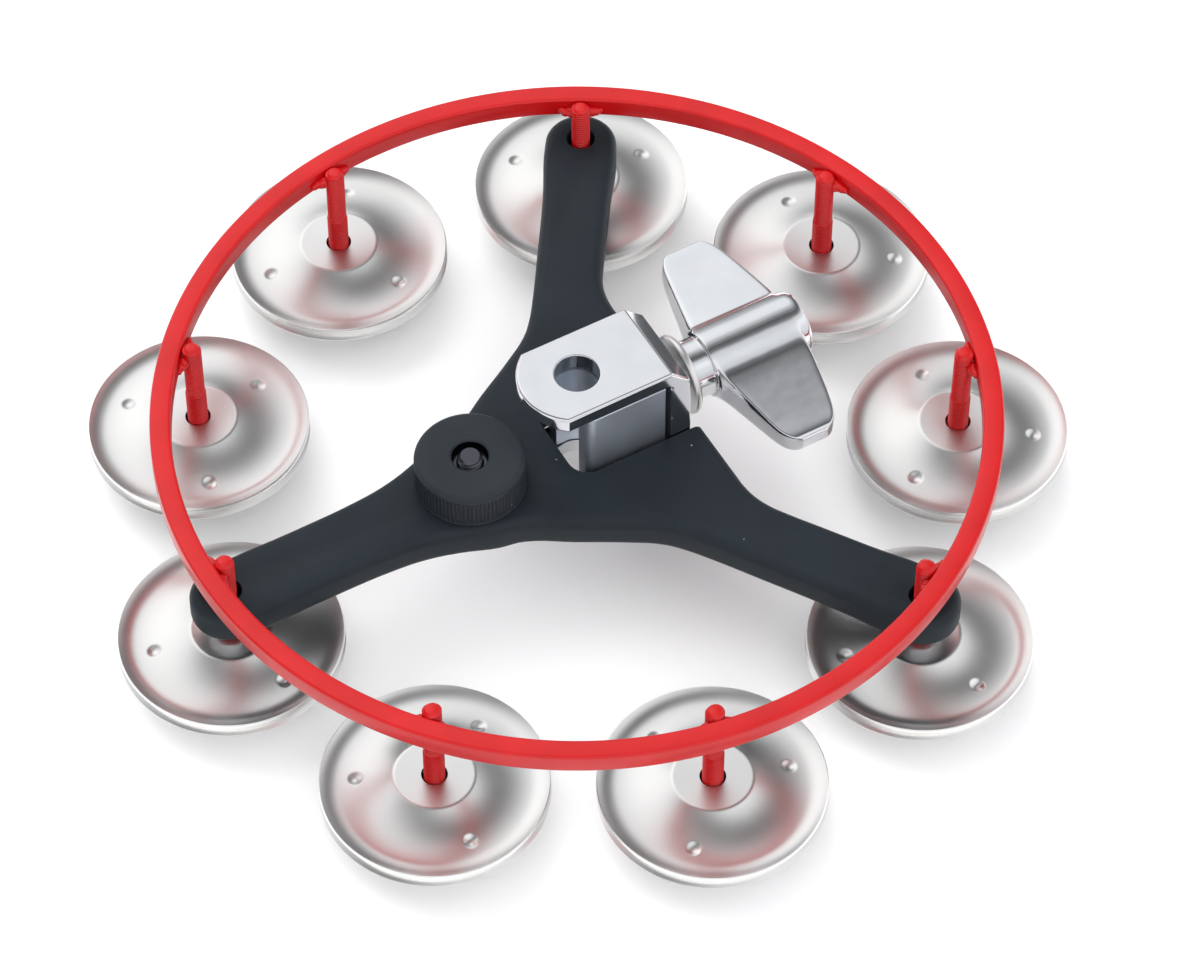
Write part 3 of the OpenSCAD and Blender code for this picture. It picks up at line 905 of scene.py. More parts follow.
def finish(name):
    """The finish of that name, made on its first use."""
    made = bpy.data.materials.get(name)
    if made:
        return made
    own = settings()
    chrome = tuple(own.clamp.chrome)
    makers = {
        "red_enamel": lambda: red_enamel(name, tuple(own.hoop.paint), 0.0),
        "spun_steel": lambda: spun_steel(name, tuple(own.jingle.steel)),
        "charcoal_moulding": lambda: charcoal_moulding(name, tuple(own.spider.plastic)),
        "knob_moulding": lambda: charcoal_moulding(name, tuple(own.knob.plastic)),
        "pressed_chrome": lambda: plated(name, chrome, 0.05, 0.13, 0.1 * MM, 60),
        # The jaw's plating is tinted blue: a painted reflection of the shaded pale floor that its
        # near face looks down on.
        "satin_chrome": lambda: plated(name, (0.8, 0.88, 0.97), 0.4, 0.52, 0.3 * MM, 130),
        "cast_chrome": lambda: plated(name, chrome, 0.06, 0.16, 0.35 * MM, 110),
        "bright_zinc": lambda: plated(name, (0.74, 0.75, 0.77), 0.22, 0.36, 0.02 * MM, 500),
        "pale_zinc": lambda: plated(name, (0.9, 0.89, 0.87), 0.3, 0.42, 0.02 * MM, 400),
        "black_zinc": lambda: plated(name, (0.1, 0.105, 0.12), 0.25, 0.4, 0.02 * MM, 600),
        "natural_nylon": lambda: natural_nylon(name),
    }
    return makers[name]()


# -------------------------------------------------------------------------------- pieces

class TAMBOURINE_OT_hoop(bpy.types.Operator):
    """Turns the hoop's square bar, with soft edges, into a closed ring"""
    bl_idname = "tambourine.hoop"
    bl_label = "Hoop"

    def execute(self, context):
        own = settings().hoop
        low, high = node_low("hoop"), node_high("hoop")
        inner = own.radius - own.bar
        corners = [
            (inner, low, own.edge), (own.radius, low, own.edge),
            (own.radius, high, own.edge), (inner, high, own.edge),
        ]
        ring = turned(rounded(corners, 5), own.steps)
        hand_over(ring, "hoop_ring", "frame", "hoop", finish("red_enamel"))
        return {"FINISHED"}


class TAMBOURINE_OT_studs(bpy.types.Operator):
    """Threads one stud, rounds its top, and copies it to the nine places"""
    bl_idname = "tambourine.studs"
    bl_label = "Studs"

    def execute(self, context):
        own = settings().hoop
        low, high = node_low("studs"), node_high("studs")
        dome, bevel = 0.35 * MM, 0.65 * MM
        run_out = 0.7 * MM
        chamfer = 0.6 * MM

        def limit(height):
            grown = min(1, max(0, (own.thread_top - height) / run_out))
            body = own.shank + (own.crest - own.shank) * grown
            into_dome = max(0, height - (high - dome))
            body -= dome - math.sqrt(max(0, dome ** 2 - into_dome ** 2))
            body -= max(0, min(1, (height - (high - bevel)) / (bevel - dome))) * bevel
            return body - max(0, chamfer - (height - low))

        stud = threaded_rod(low, high, own.pitch, own.root, own.crest, limit)
        at_places(stud, PLACES, "stud", "studs", finish("red_enamel"), 40)
        return {"FINISHED"}


class TAMBOURINE_OT_welds(bpy.types.Operator):
    """Runs a lumpy weld bead down each side of every stud, where it meets the hoop"""
    bl_idname = "tambourine.welds"
    bl_label = "Welds"

    def execute(self, context):
        own = settings().hoop
        low, high = node_low("stud_welds"), node_high("stud_welds")
        wall = own.radius - own.bar - own.stud_circle
        for place in PLACES:
            draw = random.Random(place)
            beads = []
            for side in (-1, 1):
                for run in (0.36, 0.52, 0.7, 0.88):
                    size = (2.0 - 1.3 * run + draw.uniform(-0.1, 0.12)) * MM
                    along = side * run * own.weld / 2
                    slack = max(0.05 * MM, (high - low) / 2 - size)
                    up = (low + high) / 2 + draw.uniform(-0.6, 0.6) * slack
                    out = wall - 0.5 * size + draw.uniform(-0.1, 0.1) * MM
                    beads.append((Vector((out, along, up)), size))
            pieces = []
            for spot, size in beads:
                deselect_all()
                bpy.ops.mesh.primitive_ico_sphere_add(subdivisions=3, radius=size, location=spot)
                pieces.append(bpy.context.object)
            deselect_all()
            for piece in pieces:
                piece.select_set(True)
            bpy.context.view_layer.objects.active = pieces[0]
            bpy.ops.object.join()
            weld = bpy.context.object
            bpy.ops.object.transform_apply(location=True, rotation=True, scale=True)
            apply_modifier(weld, "REMESH", mode="VOXEL", voxel_size=0.2 * MM)
            apply_modifier(weld, "SMOOTH", factor=0.6, iterations=6)
            at_places(
                weld, (place,), "weld", "stud_welds", finish("red_enamel"), 80
            )
        return {"FINISHED"}


class TAMBOURINE_OT_jingles(bpy.types.Operator):
    """Spins one dished jingle, presses its dimples, and hangs nine pairs of copies"""
    bl_idname = "tambourine.jingles"
    bl_label = "Jingles"

    def height(self, own, radius):
        """Height of the upper surface at a radius, below the flat centre."""
        if radius <= own.flat:
            return 0.0
        if radius <= own.trough:
            fall = 1 - ((own.trough - radius) / (own.trough - own.flat)) ** 2
            return -own.depth * fall
        return own.lip * ((radius - own.trough) / (own.radius - own.trough)) ** 2 - own.depth

    def profile(self, own):
        """Closed section of the sheet: out along the top, round the rim and back below."""
        knee = 0.5 * MM
        radii = [own.hole + 0.12 * MM]
        radii += [own.flat * 0.55, own.flat - knee, own.flat - knee / 3, own.flat + knee / 3]
        radii += [own.flat + knee + (own.trough - own.flat - knee) * n / 16 for n in range(17)]
        radii += [own.trough + (own.radius - own.trough) * n / 7 for n in range(1, 7)]
        radii += [own.radius - 0.12 * MM]
        top = [Vector((r, self.height(own, r))) for r in radii]
        below = []
        for index, spot in enumerate(top):
            before = top[max(0, index - 1)]
            after = top[min(len(top) - 1, index + 1)]
            run = (after - before).normalized()
            below.append(spot + Vector((run.y, -run.x)) * own.sheet)
        rim = (top[-1] + below[-1]) / 2 + Vector((0.12 * MM, 0))
        bore = (top[0] + below[0]) / 2 - Vector((0.12 * MM, 0))
        return top + [rim] + below[::-1] + [bore]

    def unwrap(self, disc):
        """Gives the disc a UV map of turns about its axis by radius."""
        layer = disc.data.uv_layers.new(name="turns")
        for face in disc.data.polygons:
            turns = []
            for loop in face.loop_indices:
                spot = disc.data.vertices[disc.data.loops[loop].vertex_index].co
                turns.append(math.atan2(spot.y, spot.x) / FULL_TURN)
            seam = max(turns) - min(turns) > 0.5
            for loop, turn in zip(face.loop_indices, turns):
                spot = disc.data.vertices[disc.data.loops[loop].vertex_index].co
                wrapped = turn + 1 if seam and turn < 0 else turn
                layer.data[loop].uv = (wrapped, math.hypot(spot.x, spot.y))

    def press_dimple(self, disc, own, angle):
        """Pushes the sheet down in a small round dimple."""
        x, y = own.dimple_circle * math.cos(angle), own.dimple_circle * math.sin(angle)
        for vert in disc.data.vertices:
            away = math.hypot(vert.co.x - x, vert.co.y - y) / own.dimple
            if away < 1:
                vert.co.z -= own.dimple_depth * (1 - away ** 2) ** 1.5

    def execute(self, context):
        own = settings().jingle
        disc = turned(self.profile(own), own.steps)
        open_mesh(disc, "FACE")
        near = own.dimple * 1.35

        def by_dimple(face):
            spot = face.calc_center_median()
            for n in range(3):
                angle = FULL_TURN * n / 3
                x, y = own.dimple_circle * math.cos(angle), own.dimple_circle * math.sin(angle)
                if math.hypot(spot.x - x, spot.y - y) < near:
                    return True
            return False

        pick("faces", by_dimple)
        bpy.ops.mesh.subdivide(number_cuts=2, smoothness=0)
        close_mesh()
        for n in range(3):
            self.press_dimple(disc, own, FULL_TURN * n / 3)
        self.unwrap(disc)
        steel = finish("spun_steel")
        circle = Matrix.Translation((settings().hoop.stud_circle, 0, 0))
        for place in PLACES:
            outwards = Matrix.Rotation(place_azimuth(place), 4, "Z") @ circle
            turn = math.radians(REST_TURNS[place - 1])
            for half, own_turn in (("upper", turn), ("lower", turn + math.radians(61))):
                node = f"jingle_{place}_{half}"
                low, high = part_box(node)
                flip = Matrix.Rotation(math.pi if half == "lower" else 0, 4, "X")
                flat = high.z if half == "upper" else low.z
                copy = copy_of(disc)
                lift = Matrix.Translation((0, 0, flat))
                set_matrix(copy, outwards @ lift @ Matrix.Rotation(own_turn, 4, "Z") @ flip)
                hand_over(copy, f"{half}_disc_{place}", node, node, steel, 50)
        bpy.data.objects.remove(disc)
        return {"FINISHED"}


class TAMBOURINE_OT_fasteners(bpy.types.Operator):
    """Washers, lock nuts with their nylon rings, and the thin nuts under the arms"""
    bl_idname = "tambourine.fasteners"
    bl_label = "Fasteners"

    def execute(self, context):
        zinc = finish("bright_zinc")
        outer, inner = 5 * MM, 2.65 * MM
        flats, bore = 8 * MM, 2.55 * MM
        for node, name, places in (
            ("stud_washers", "stud_washer", PLACES), ("arm_washers", "arm_washer", ARM_PLACES)
        ):
            ring = flat_ring(node_low(node), node_high(node), outer, inner, 0.15 * MM)
            at_places(ring, places, name, node, zinc)

        low, high = node_low("lock_nuts"), node_high("lock_nuts")
        ring_low, ring_high = node_low("lock_nut_rings"), node_high("lock_nut_rings")
        nut = hex_nut(low, high, flats, bore, collar=1.2 * MM)
        ring_seat, mouth = 3.4 * MM, 3.05 * MM
        drill(nut, ring_seat, (0, 0, ring_low), ring_high - ring_low)
        drill(nut, mouth, (0, 0, low - MM), ring_low - low + 1.1 * MM)
        at_places(nut, PLACES, "lock_nut", "lock_nuts", zinc)
        nylon = flat_ring(ring_low, ring_high, 3.38 * MM, 2.52 * MM, 0.2 * MM)
        at_places(nylon, PLACES, "nylon_ring", "lock_nut_rings", finish("natural_nylon"))

        thin = hex_nut(node_low("arm_nuts"), node_high("arm_nuts"), flats, bore)
        at_places(thin, ARM_PLACES, "arm_nut", "arm_nuts", zinc)
        return {"FINISHED"}


class TAMBOURINE_OT_spider(bpy.types.Operator):
    """Draws the three-armed outline as a curve, thickens it, rounds it and cuts its openings"""
    bl_idname = "tambourine.spider"
    bl_label = "Spider"

    def half_outline(self, own, circle):
        """Half of the outline in the clamp's axes, from arm 7's tip to the clamp side."""
        cos30, tip = math.cos(math.pi / 6), own.tip

        def waist(t):
            return tip + 0.6 * t * MM

        def bent(along, aside):
            return (along / 2 + aside * cos30, aside / 2 - along * cos30)

        def on_hub(s):
            return (s * cos30 - own.hub / 2, -own.hub * cos30 - s / 2)

        first_tip = arc((-circle, 0), tip, 180, 270, 4)
        second_tip = arc(bent(circle, 0), tip, 210, 390, 8)
        flank = [(-70, 0.1), (-54, 0.8), (-46, 2.4), (-38, 6), (-30, 11)]
        points = first_tip + [(x * MM, -waist(t)) for x, t in flank]
        points += [on_hub(s * MM) for s in (-12, 0, 12)]
        inner = [(31, -13.2), (36, -12), (43, -11.2), (55, -10.4), (75, -9.2)]
        outer = [(75, 7.4), (62, 6.4), (54, 5.8), (49, 5.7), (45, 6.3), (41, 7.8)]
        points += [bent(a * MM, k * MM) for a, k in inner] + second_tip
        points += [bent(a * MM, k * MM) for a, k in outer]
        corner = Vector((own.front, -26 * MM))
        before = Vector(points[-1])
        points += [corner + (before - corner).normalized() * 1.6 * MM]
        points += [corner + Vector((0, 1.6 * MM))]
        return points

    def execute(self, context):
        own = settings().spider
        low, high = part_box("spider")[0].z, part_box("spider")[1].z
        half = self.half_outline(own, settings().hoop.stud_circle)
        outline = half + [(x, -y) for x, y in reversed(half[1:])]
        curve = bpy.data.curves.new("spider_outline", "CURVE")
        curve.dimensions = "2D"
        curve.fill_mode = "NONE"
        curve.resolution_u = 5
        spline = curve.splines.new("BEZIER")
        spline.bezier_points.add(len(outline) - 1)
        spline.use_cyclic_u = True
        for point, (x, y) in zip(spline.bezier_points, outline):
            point.co = (x, y, 0)
            point.handle_left_type = point.handle_right_type = "AUTO"
        arm = bpy.data.objects.new("spider_outline", curve)
        bpy.context.scene.collection.objects.link(arm)
        activate(arm)
        bpy.ops.object.convert(target="MESH")
        moulding = bpy.context.object
        open_mesh(moulding, "VERT")
        bpy.ops.mesh.select_all(action="SELECT")
        bpy.ops.mesh.remove_doubles(threshold=0.05 * MM)
        bpy.ops.transform.translate(value=(0, 0, low))
        bpy.ops.mesh.edge_face_add()
        bpy.ops.mesh.extrude_region_move(TRANSFORM_OT_translate={"value": (0, 0, high - low)})
        mend()
        close_mesh()

        def rim(edge):
            flat = abs(edge.verts[0].co.z - edge.verts[1].co.z) < 0.01 * MM
            return flat and sharp(edge, 60)

        soften(moulding, rim, own.edge, 6)
        half_slot = own.slot_width / 2
        slot = prism(
            rounded([
                (own.slot_end, -half_slot, 5 * MM), (40 * MM, -half_slot, 0),
                (40 * MM, half_slot, 0), (own.slot_end, half_slot, 5 * MM),
            ], 8),
            low - MM, high + MM,
        )
        combine(moulding, slot, "DIFFERENCE")
        drill(moulding, 3.3 * MM, (settings().knob.axis, 0, low - MM), high - low + 2 * MM)
        to_clamp = clamp_matrix()
        for place in ARM_PLACES:
            azimuth = place_azimuth(place) - CLAMP_AZIMUTH
            spot = Matrix.Rotation(azimuth, 3, "Z") @ Vector((settings().hoop.stud_circle, 0, 0))
            drill(moulding, 2.55 * MM, (spot.x, spot.y, low - MM), high - low + 2 * MM)
            base = high - own.recess_depth
            drill(moulding, own.recess, (spot.x, spot.y, base), own.recess_depth + MM)

        def mouth(edge):
            heights = [vert.co.z for vert in edge.verts]
            on_face = all(min(abs(z - high), abs(z - low)) < 0.01 * MM for z in heights)
            return on_face and sharp(edge, 60)

        soften(moulding, mouth, 0.45 * MM, 3)
        set_matrix(moulding, to_clamp)
        hand_over(
            moulding, "spider_moulding", "frame", "spider",
            finish("charcoal_moulding"), 40,
        )
        return {"FINISHED"}


class TAMBOURINE_OT_housing(bpy.types.Operator):
    """Folds the clamp housing: upper plate, wall and the leg under the spider"""
    bl_idname = "tambourine.housing"
    bl_label = "Clamp housing"

    def execute(self, context):
        own = settings().clamp
        low, high = node_low("clamp_housing"), node_high("clamp_housing")
        half = own.width / 2
        inside = own.reach - own.wall
        under = high - own.plate
        leg_top = low + own.leg
        far = -20 * MM
        section = rounded([
            (far, high, 0), (own.reach - own.bend, high, 0.8 * MM),
            (own.reach, high - own.bend, 1.6 * MM), (own.reach, low, own.bend),
            (far, low, 0), (far, leg_top, 0), (inside, leg_top, 1.2 * MM),
            (inside, under, 1.2 * MM), (far, under, 0),
        ], 10)
        shell = prism(section, -half, half)
        set_matrix(shell, Matrix.Rotation(math.pi / 2, 4, "X"))
        corner = math.degrees(math.asin(half / own.nose))
        plan = arc((0, 0), own.nose, 180 - corner, 180 + corner, 28)
        plan += [(own.reach + MM, -half), (own.reach + MM, half)]
        combine(shell, prism(plan, low - MM, high + MM), "INTERSECT")
        tidy_faces(shell)
        soften(shell, lambda edge: sharp(edge, 40) and middle(edge).z > 0, 0.75 * MM, 4)

        knob_axis = settings().knob.axis
        leg_half = 10 * MM
        leg_plan = arc((knob_axis, 0), leg_half, 90, 270, 32)
        leg_plan += [(2 * MM, -leg_half), (2 * MM, leg_half)]
        leg = prism(leg_plan, low, leg_top)
        soften(leg, lambda edge: sharp(edge, 40) and middle(edge).x < 0, 0.4 * MM, 3)
        combine(shell, leg, "UNION")
        drill(shell, own.rod, (0, 0, low - MM), high - low + 2 * MM, sides=96)
        drill(shell, own.screw + 0.05 * MM, (inside - MM, 0, 0), own.wall + 2 * MM, axis="X")
        stud_bore, head_bore, head_depth = 3.05 * MM, 5.05 * MM, 1.4 * MM
        drill(shell, stud_bore, (knob_axis, 0, low - MM), own.leg + 2 * MM)
        drill(shell, head_bore, (knob_axis, 0, low - MM), head_depth + MM)

        def rod_mouth(edge):
            level = all(abs(v.co.z - high) < 0.01 * MM for v in edge.verts)
            on_hole = all(abs(math.hypot(v.co.x, v.co.y) - own.rod) < 0.02 * MM for v in edge.verts)
            return level and on_hole

        soften(shell, rod_mouth, 0.35 * MM, 3)
        set_matrix(shell, clamp_matrix())
        hand_over(
            shell, "housing_shell", "frame", "clamp_housing",
            finish("pressed_chrome"), 30, level=True,
        )
        return {"FINISHED"}


class TAMBOURINE_OT_jaw(bpy.types.Operator):
    """Models the sliding jaw, a block whose saddle goes half round the rod"""
    bl_idname = "tambourine.jaw"
    bl_label = "Clamp jaw"

    def execute(self, context):
        own = settings().clamp
        low, high = node_low("clamp_jaw"), node_high("clamp_jaw")
        half = own.jaw_width / 2
        saddle = own.rod + 0.1 * MM
        horn = rounded([
            (own.jaw_tip, -saddle, 0.6 * MM), (own.jaw_tip, -half, 2 * MM),
            (own.jaw_back, -half, 0.4 * MM), (own.jaw_back, half, 0.4 * MM),
            (own.jaw_tip, half, 2 * MM), (own.jaw_tip, saddle, 0.6 * MM),
        ], 5, closed=False)
        outline = [tuple(spot) for spot in horn] + arc((0, 0), saddle, 90, -90, 32)
        block = prism(outline, low, high)

        def rim(edge):
            flat = abs(edge.verts[0].co.z - edge.verts[1].co.z) < 0.01 * MM
            spot = middle(edge)
            on_saddle = abs(spot.y) < saddle + 0.05 * MM and spot.x < saddle
            return flat and sharp(edge, 60) and not on_saddle

        soften(block, rim, 3 * MM, 8)
        set_matrix(block, clamp_matrix())
        # The jaw's chrome carries a blue tint that is painted reflection of the shaded floor.
        hand_over(
            block, "jaw_block", "clamp_jaw", "clamp_jaw", finish("satin_chrome"), 40,
            level=True,
        )
        return {"FINISHED"}


class TAMBOURINE_OT_screw(bpy.types.Operator):
    """Threads the clamp screw and turns its thrust washer"""
    bl_idname = "tambourine.screw"
    bl_label = "Clamp screw and washer"

    def execute(self, context):
        own = settings().clamp
        tip, end, wash_in, wash_out = 18.15 * MM, 48 * MM, 26.9 * MM, 28.7 * MM
        screw = threaded_rod(
            tip, end, 1.25 * MM, own.screw - 0.72 * MM, own.screw,
            lambda height: chamfered(height, tip, end, own.screw, 0.9 * MM), steps=36,
        )
        along = clamp_matrix() @ Matrix.Rotation(math.pi / 2, 4, "Y")
        set_matrix(screw, along)
        hand_over(
            screw, "screw_thread", "wing_bolt", "clamp_screw",
            finish("bright_zinc"), 30,
        )
        ring = flat_ring(wash_in, wash_out, 10 * MM, own.screw + 0.3 * MM, 0.7 * MM, 96)
        set_matrix(ring, along)
        hand_over(
            ring, "thrust_washer", "clamp_washer", "clamp_washer",
            finish("pale_zinc"),
        )
        return {"FINISHED"}


class TAMBOURINE_OT_wing_bolt(bpy.types.Operator):
    """Sculpts the wing bolt from a coarse cage: neck, hub, and wings pulled out of its sides"""
    bl_idname = "tambourine.wing_bolt"
    bl_label = "Wing bolt"

    sides = 12

    def rise(self, height, radius):
        """Extrudes the selected end of the cage to a height and radius."""
        bpy.ops.mesh.extrude_region_move(
            TRANSFORM_OT_translate={"value": (0, 0, height - self.level)}
        )
        size = radius / self.girth
        bpy.ops.transform.resize(value=(size, size, 1), center_override=(0, 0, height))
        self.level, self.girth = height, radius

    def pull_wing(self, side, first, last, thick, stations):
        """Pulls one wing out of the hub's side, from station to station along its span."""
        def on_side(face):
            spot = face.calc_center_median()
            between = first < spot.z < last
            return between and abs(spot.x) < 0.8 * thick and spot.y * side > 0.5 * thick

        bpy.ops.mesh.select_mode(type="FACE")
        pick("faces", on_side)
        low, high, half, reach = first, last, thick, 0.0
        for span, new_low, new_high, new_half in stations:
            step = (span - reach) * side if reach else 0
            bpy.ops.mesh.extrude_region_move(TRANSFORM_OT_translate={"value": (0, step, 0)})
            if not reach:
                # The hub's round side is flattened where the wing starts.
                bpy.ops.transform.resize(value=(1, 0, 1), center_override=(0, span * side, 0))
            grow = (new_high - new_low) / (high - low)
            old_middle = (low + high) / 2
            bpy.ops.transform.resize(
                value=(new_half / half, 1, grow), center_override=(0, span * side, old_middle)
            )
            bpy.ops.transform.translate(value=(0, 0, (new_low + new_high) / 2 - old_middle))
            low, high, half, reach = new_low, new_high, new_half, span

    def execute(self, context):
        own = settings().clamp
        start, end = 28.8 * MM, 60.5 * MM
        # A cage ring lies outside the round surface that its subdivision settles on.
        spread = 6 / (4 + 2 * math.cos(FULL_TURN / self.sides))
        neck, hub = own.neck * spread, own.hub * spread
        deselect_all()
        bpy.ops.mesh.primitive_circle_add(
            vertices=self.sides, radius=neck - 0.8 * MM, fill_type="NGON", location=(0, 0, start),
            rotation=(0, 0, math.pi / self.sides),
        )
        bpy.ops.object.transform_apply(location=True, rotation=True)
        cage = bpy.context.object
        open_mesh(cage, "FACE")
        bpy.ops.mesh.select_all(action="SELECT")
        self.level, self.girth = start, neck - 0.8 * MM
        rings = [
            (start, neck - 0.2 * MM), (start + 0.25 * MM, neck), (start + 1.2 * MM, neck),
            (33.2 * MM, neck), (33.75 * MM, neck), (33.8 * MM, hub - 0.15 * MM),
            (34.2 * MM, hub), (35.4 * MM, hub), (45.5 * MM, hub), (55.8 * MM, hub),
            (57.2 * MM, hub), (58.8 * MM, hub), (60.1 * MM, hub - 0.5 * MM),
            (end, hub - 1.6 * MM), (end, hub - 3.2 * MM),
        ]
        for height, radius in rings:
            self.rise(height, radius)
        first, last = 34.2 * MM, 57.2 * MM
        thick = hub * math.sin(math.pi / 4)
        stations = [
            (7.0, 34.4, 57.7, 5.25), (9.0, 34.8, 57.7, 4.95), (15, 36.1, 56.7, 4.2),
            (21.5, 37.5, 55.4, 3.5), (26.5, 38.6, 54.2, 3.0), (29.4, 39.9, 52.9, 2.8),
            (31.0, 41.6, 51.0, 2.55), (31.5, 43.2, 49.4, 1.6),
        ]
        stations = [tuple(value * MM for value in station) for station in stations]
        # The far wing meets the hub in a valley; the near one flows out of it.
        self.pull_wing(1, first, last, thick, stations)
        self.pull_wing(-1, first, last, thick, stations[1:])
        mend()
        bpy.ops.mesh.select_mode(type="EDGE")

        def at_root(edge):
            spot = middle(edge)
            upright = abs(edge.verts[0].co.z - edge.verts[1].co.z) > MM
            beside = abs(abs(spot.x) - thick) < 0.1 * MM and spot.y > 0
            return upright and beside and first < spot.z < last

        pick("edges", at_root)
        bpy.ops.transform.edge_crease(value=0.7)
        close_mesh()
        apply_modifier(cage, "SUBSURF", levels=3, render_levels=3)
        set_matrix(cage, Matrix.Rotation(math.pi / 2, 4, "Y"))
        drill(cage, own.screw + 0.05 * MM, (28 * MM, 0, 0), 20 * MM, axis="X")
        tilt = Matrix.Rotation(math.radians(2.5), 4, "X")
        set_matrix(cage, clamp_matrix() @ tilt)
        hand_over(
            cage, "wing_casting", "wing_bolt", "wing_bolt", finish("cast_chrome"), 50
        )
        return {"FINISHED"}


class TAMBOURINE_OT_knob(bpy.types.Operator):
    """Turns the ridged knob, its bush and washer, and threads the stud it runs on"""
    bl_idname = "tambourine.knob"
    bl_label = "Knob"

    def execute(self, context):
        own = settings().knob
        low, high = node_low("knob"), node_high("knob")
        place = clamp_matrix() @ Matrix.Translation((own.axis, 0, 0))
        outer = own.radius
        recess = node_high("knob_washer") + 0.1 * MM
        shoulder = high - 1.9 * MM
        profile = rounded([
            (own.bore, recess, 0.1 * MM), (8.2 * MM, recess, 0.1 * MM), (8.2 * MM, low, 0.2 * MM),
            (outer, low, 0.25 * MM), (outer, low + 0.7 * MM, 0.12 * MM),
        ], 3)
        profile += [Vector((outer, low + 0.95 * MM)), Vector((outer, shoulder - 0.5 * MM))]
        profile += [Vector((outer, shoulder))]
        profile += rounded([
            (outer, shoulder + 0.05 * MM, 0), (outer - 0.05 * MM, high, 1.6 * MM),
            (own.bore + 0.4 * MM, high, 0),
        ], 8, closed=False)[1:]
        profile += [Vector((own.bore, high - 0.4 * MM))]
        grip = turned(profile, own.ridges * 4)
        step = FULL_TURN / (own.ridges * 4)
        for vert in grip.data.vertices:
            sector = round(math.atan2(vert.co.y, vert.co.x) / step) % 4
            ridged = low + 0.9 * MM < vert.co.z < shoulder + 0.02 * MM
            if ridged and sector in (2, 3) and math.hypot(vert.co.x, vert.co.y) > outer - MM:
                fade = 0.45 if vert.co.z > shoulder - 0.2 * MM else 1.0
                kept = 1 - own.ridge_depth * fade / outer
                vert.co.x *= kept
                vert.co.y *= kept
        set_matrix(grip, place)
        hand_over(
            grip, "knob_grip", "knob", "knob", finish("knob_moulding"), 30
        )

        bush = flat_ring(
            node_low("knob_insert"), node_high("knob_insert"), own.bore, own.stud + 0.05 * MM,
            0.25 * MM,
        )
        set_matrix(bush, place)
        hand_over(bush, "knob_bush", "knob", "knob_insert", finish("black_zinc"))
        shim = flat_ring(
            node_low("knob_washer"), node_high("knob_washer"), 8 * MM, own.stud + 0.3 * MM,
            0.15 * MM,
        )
        set_matrix(shim, place)
        hand_over(
            shim, "knob_shim", "knob_washer", "knob_washer", finish("bright_zinc")
        )

        foot, top = node_low("knob_stud"), node_high("knob_stud")
        head = foot + 1.4 * MM
        rod = threaded_rod(
            head - 0.2 * MM, top, MM, own.stud - 0.55 * MM, own.stud,
            lambda height: chamfered(height, foot - MM, top, own.stud, 0.75 * MM), steps=32,
        )
        base = turned(
            rounded([
                (0, foot, 0), (5 * MM, foot, 0.2 * MM), (5 * MM, head, 0.2 * MM), (0, head, 0)
            ], 3, closed=False),
            64, closed=False,
        )
        combine(rod, base, "UNION")
        set_matrix(rod, place)
        hand_over(
            rod, "knob_thread", "frame", "knob_stud", finish("black_zinc"), 30
        )
        return {"FINISHED"}


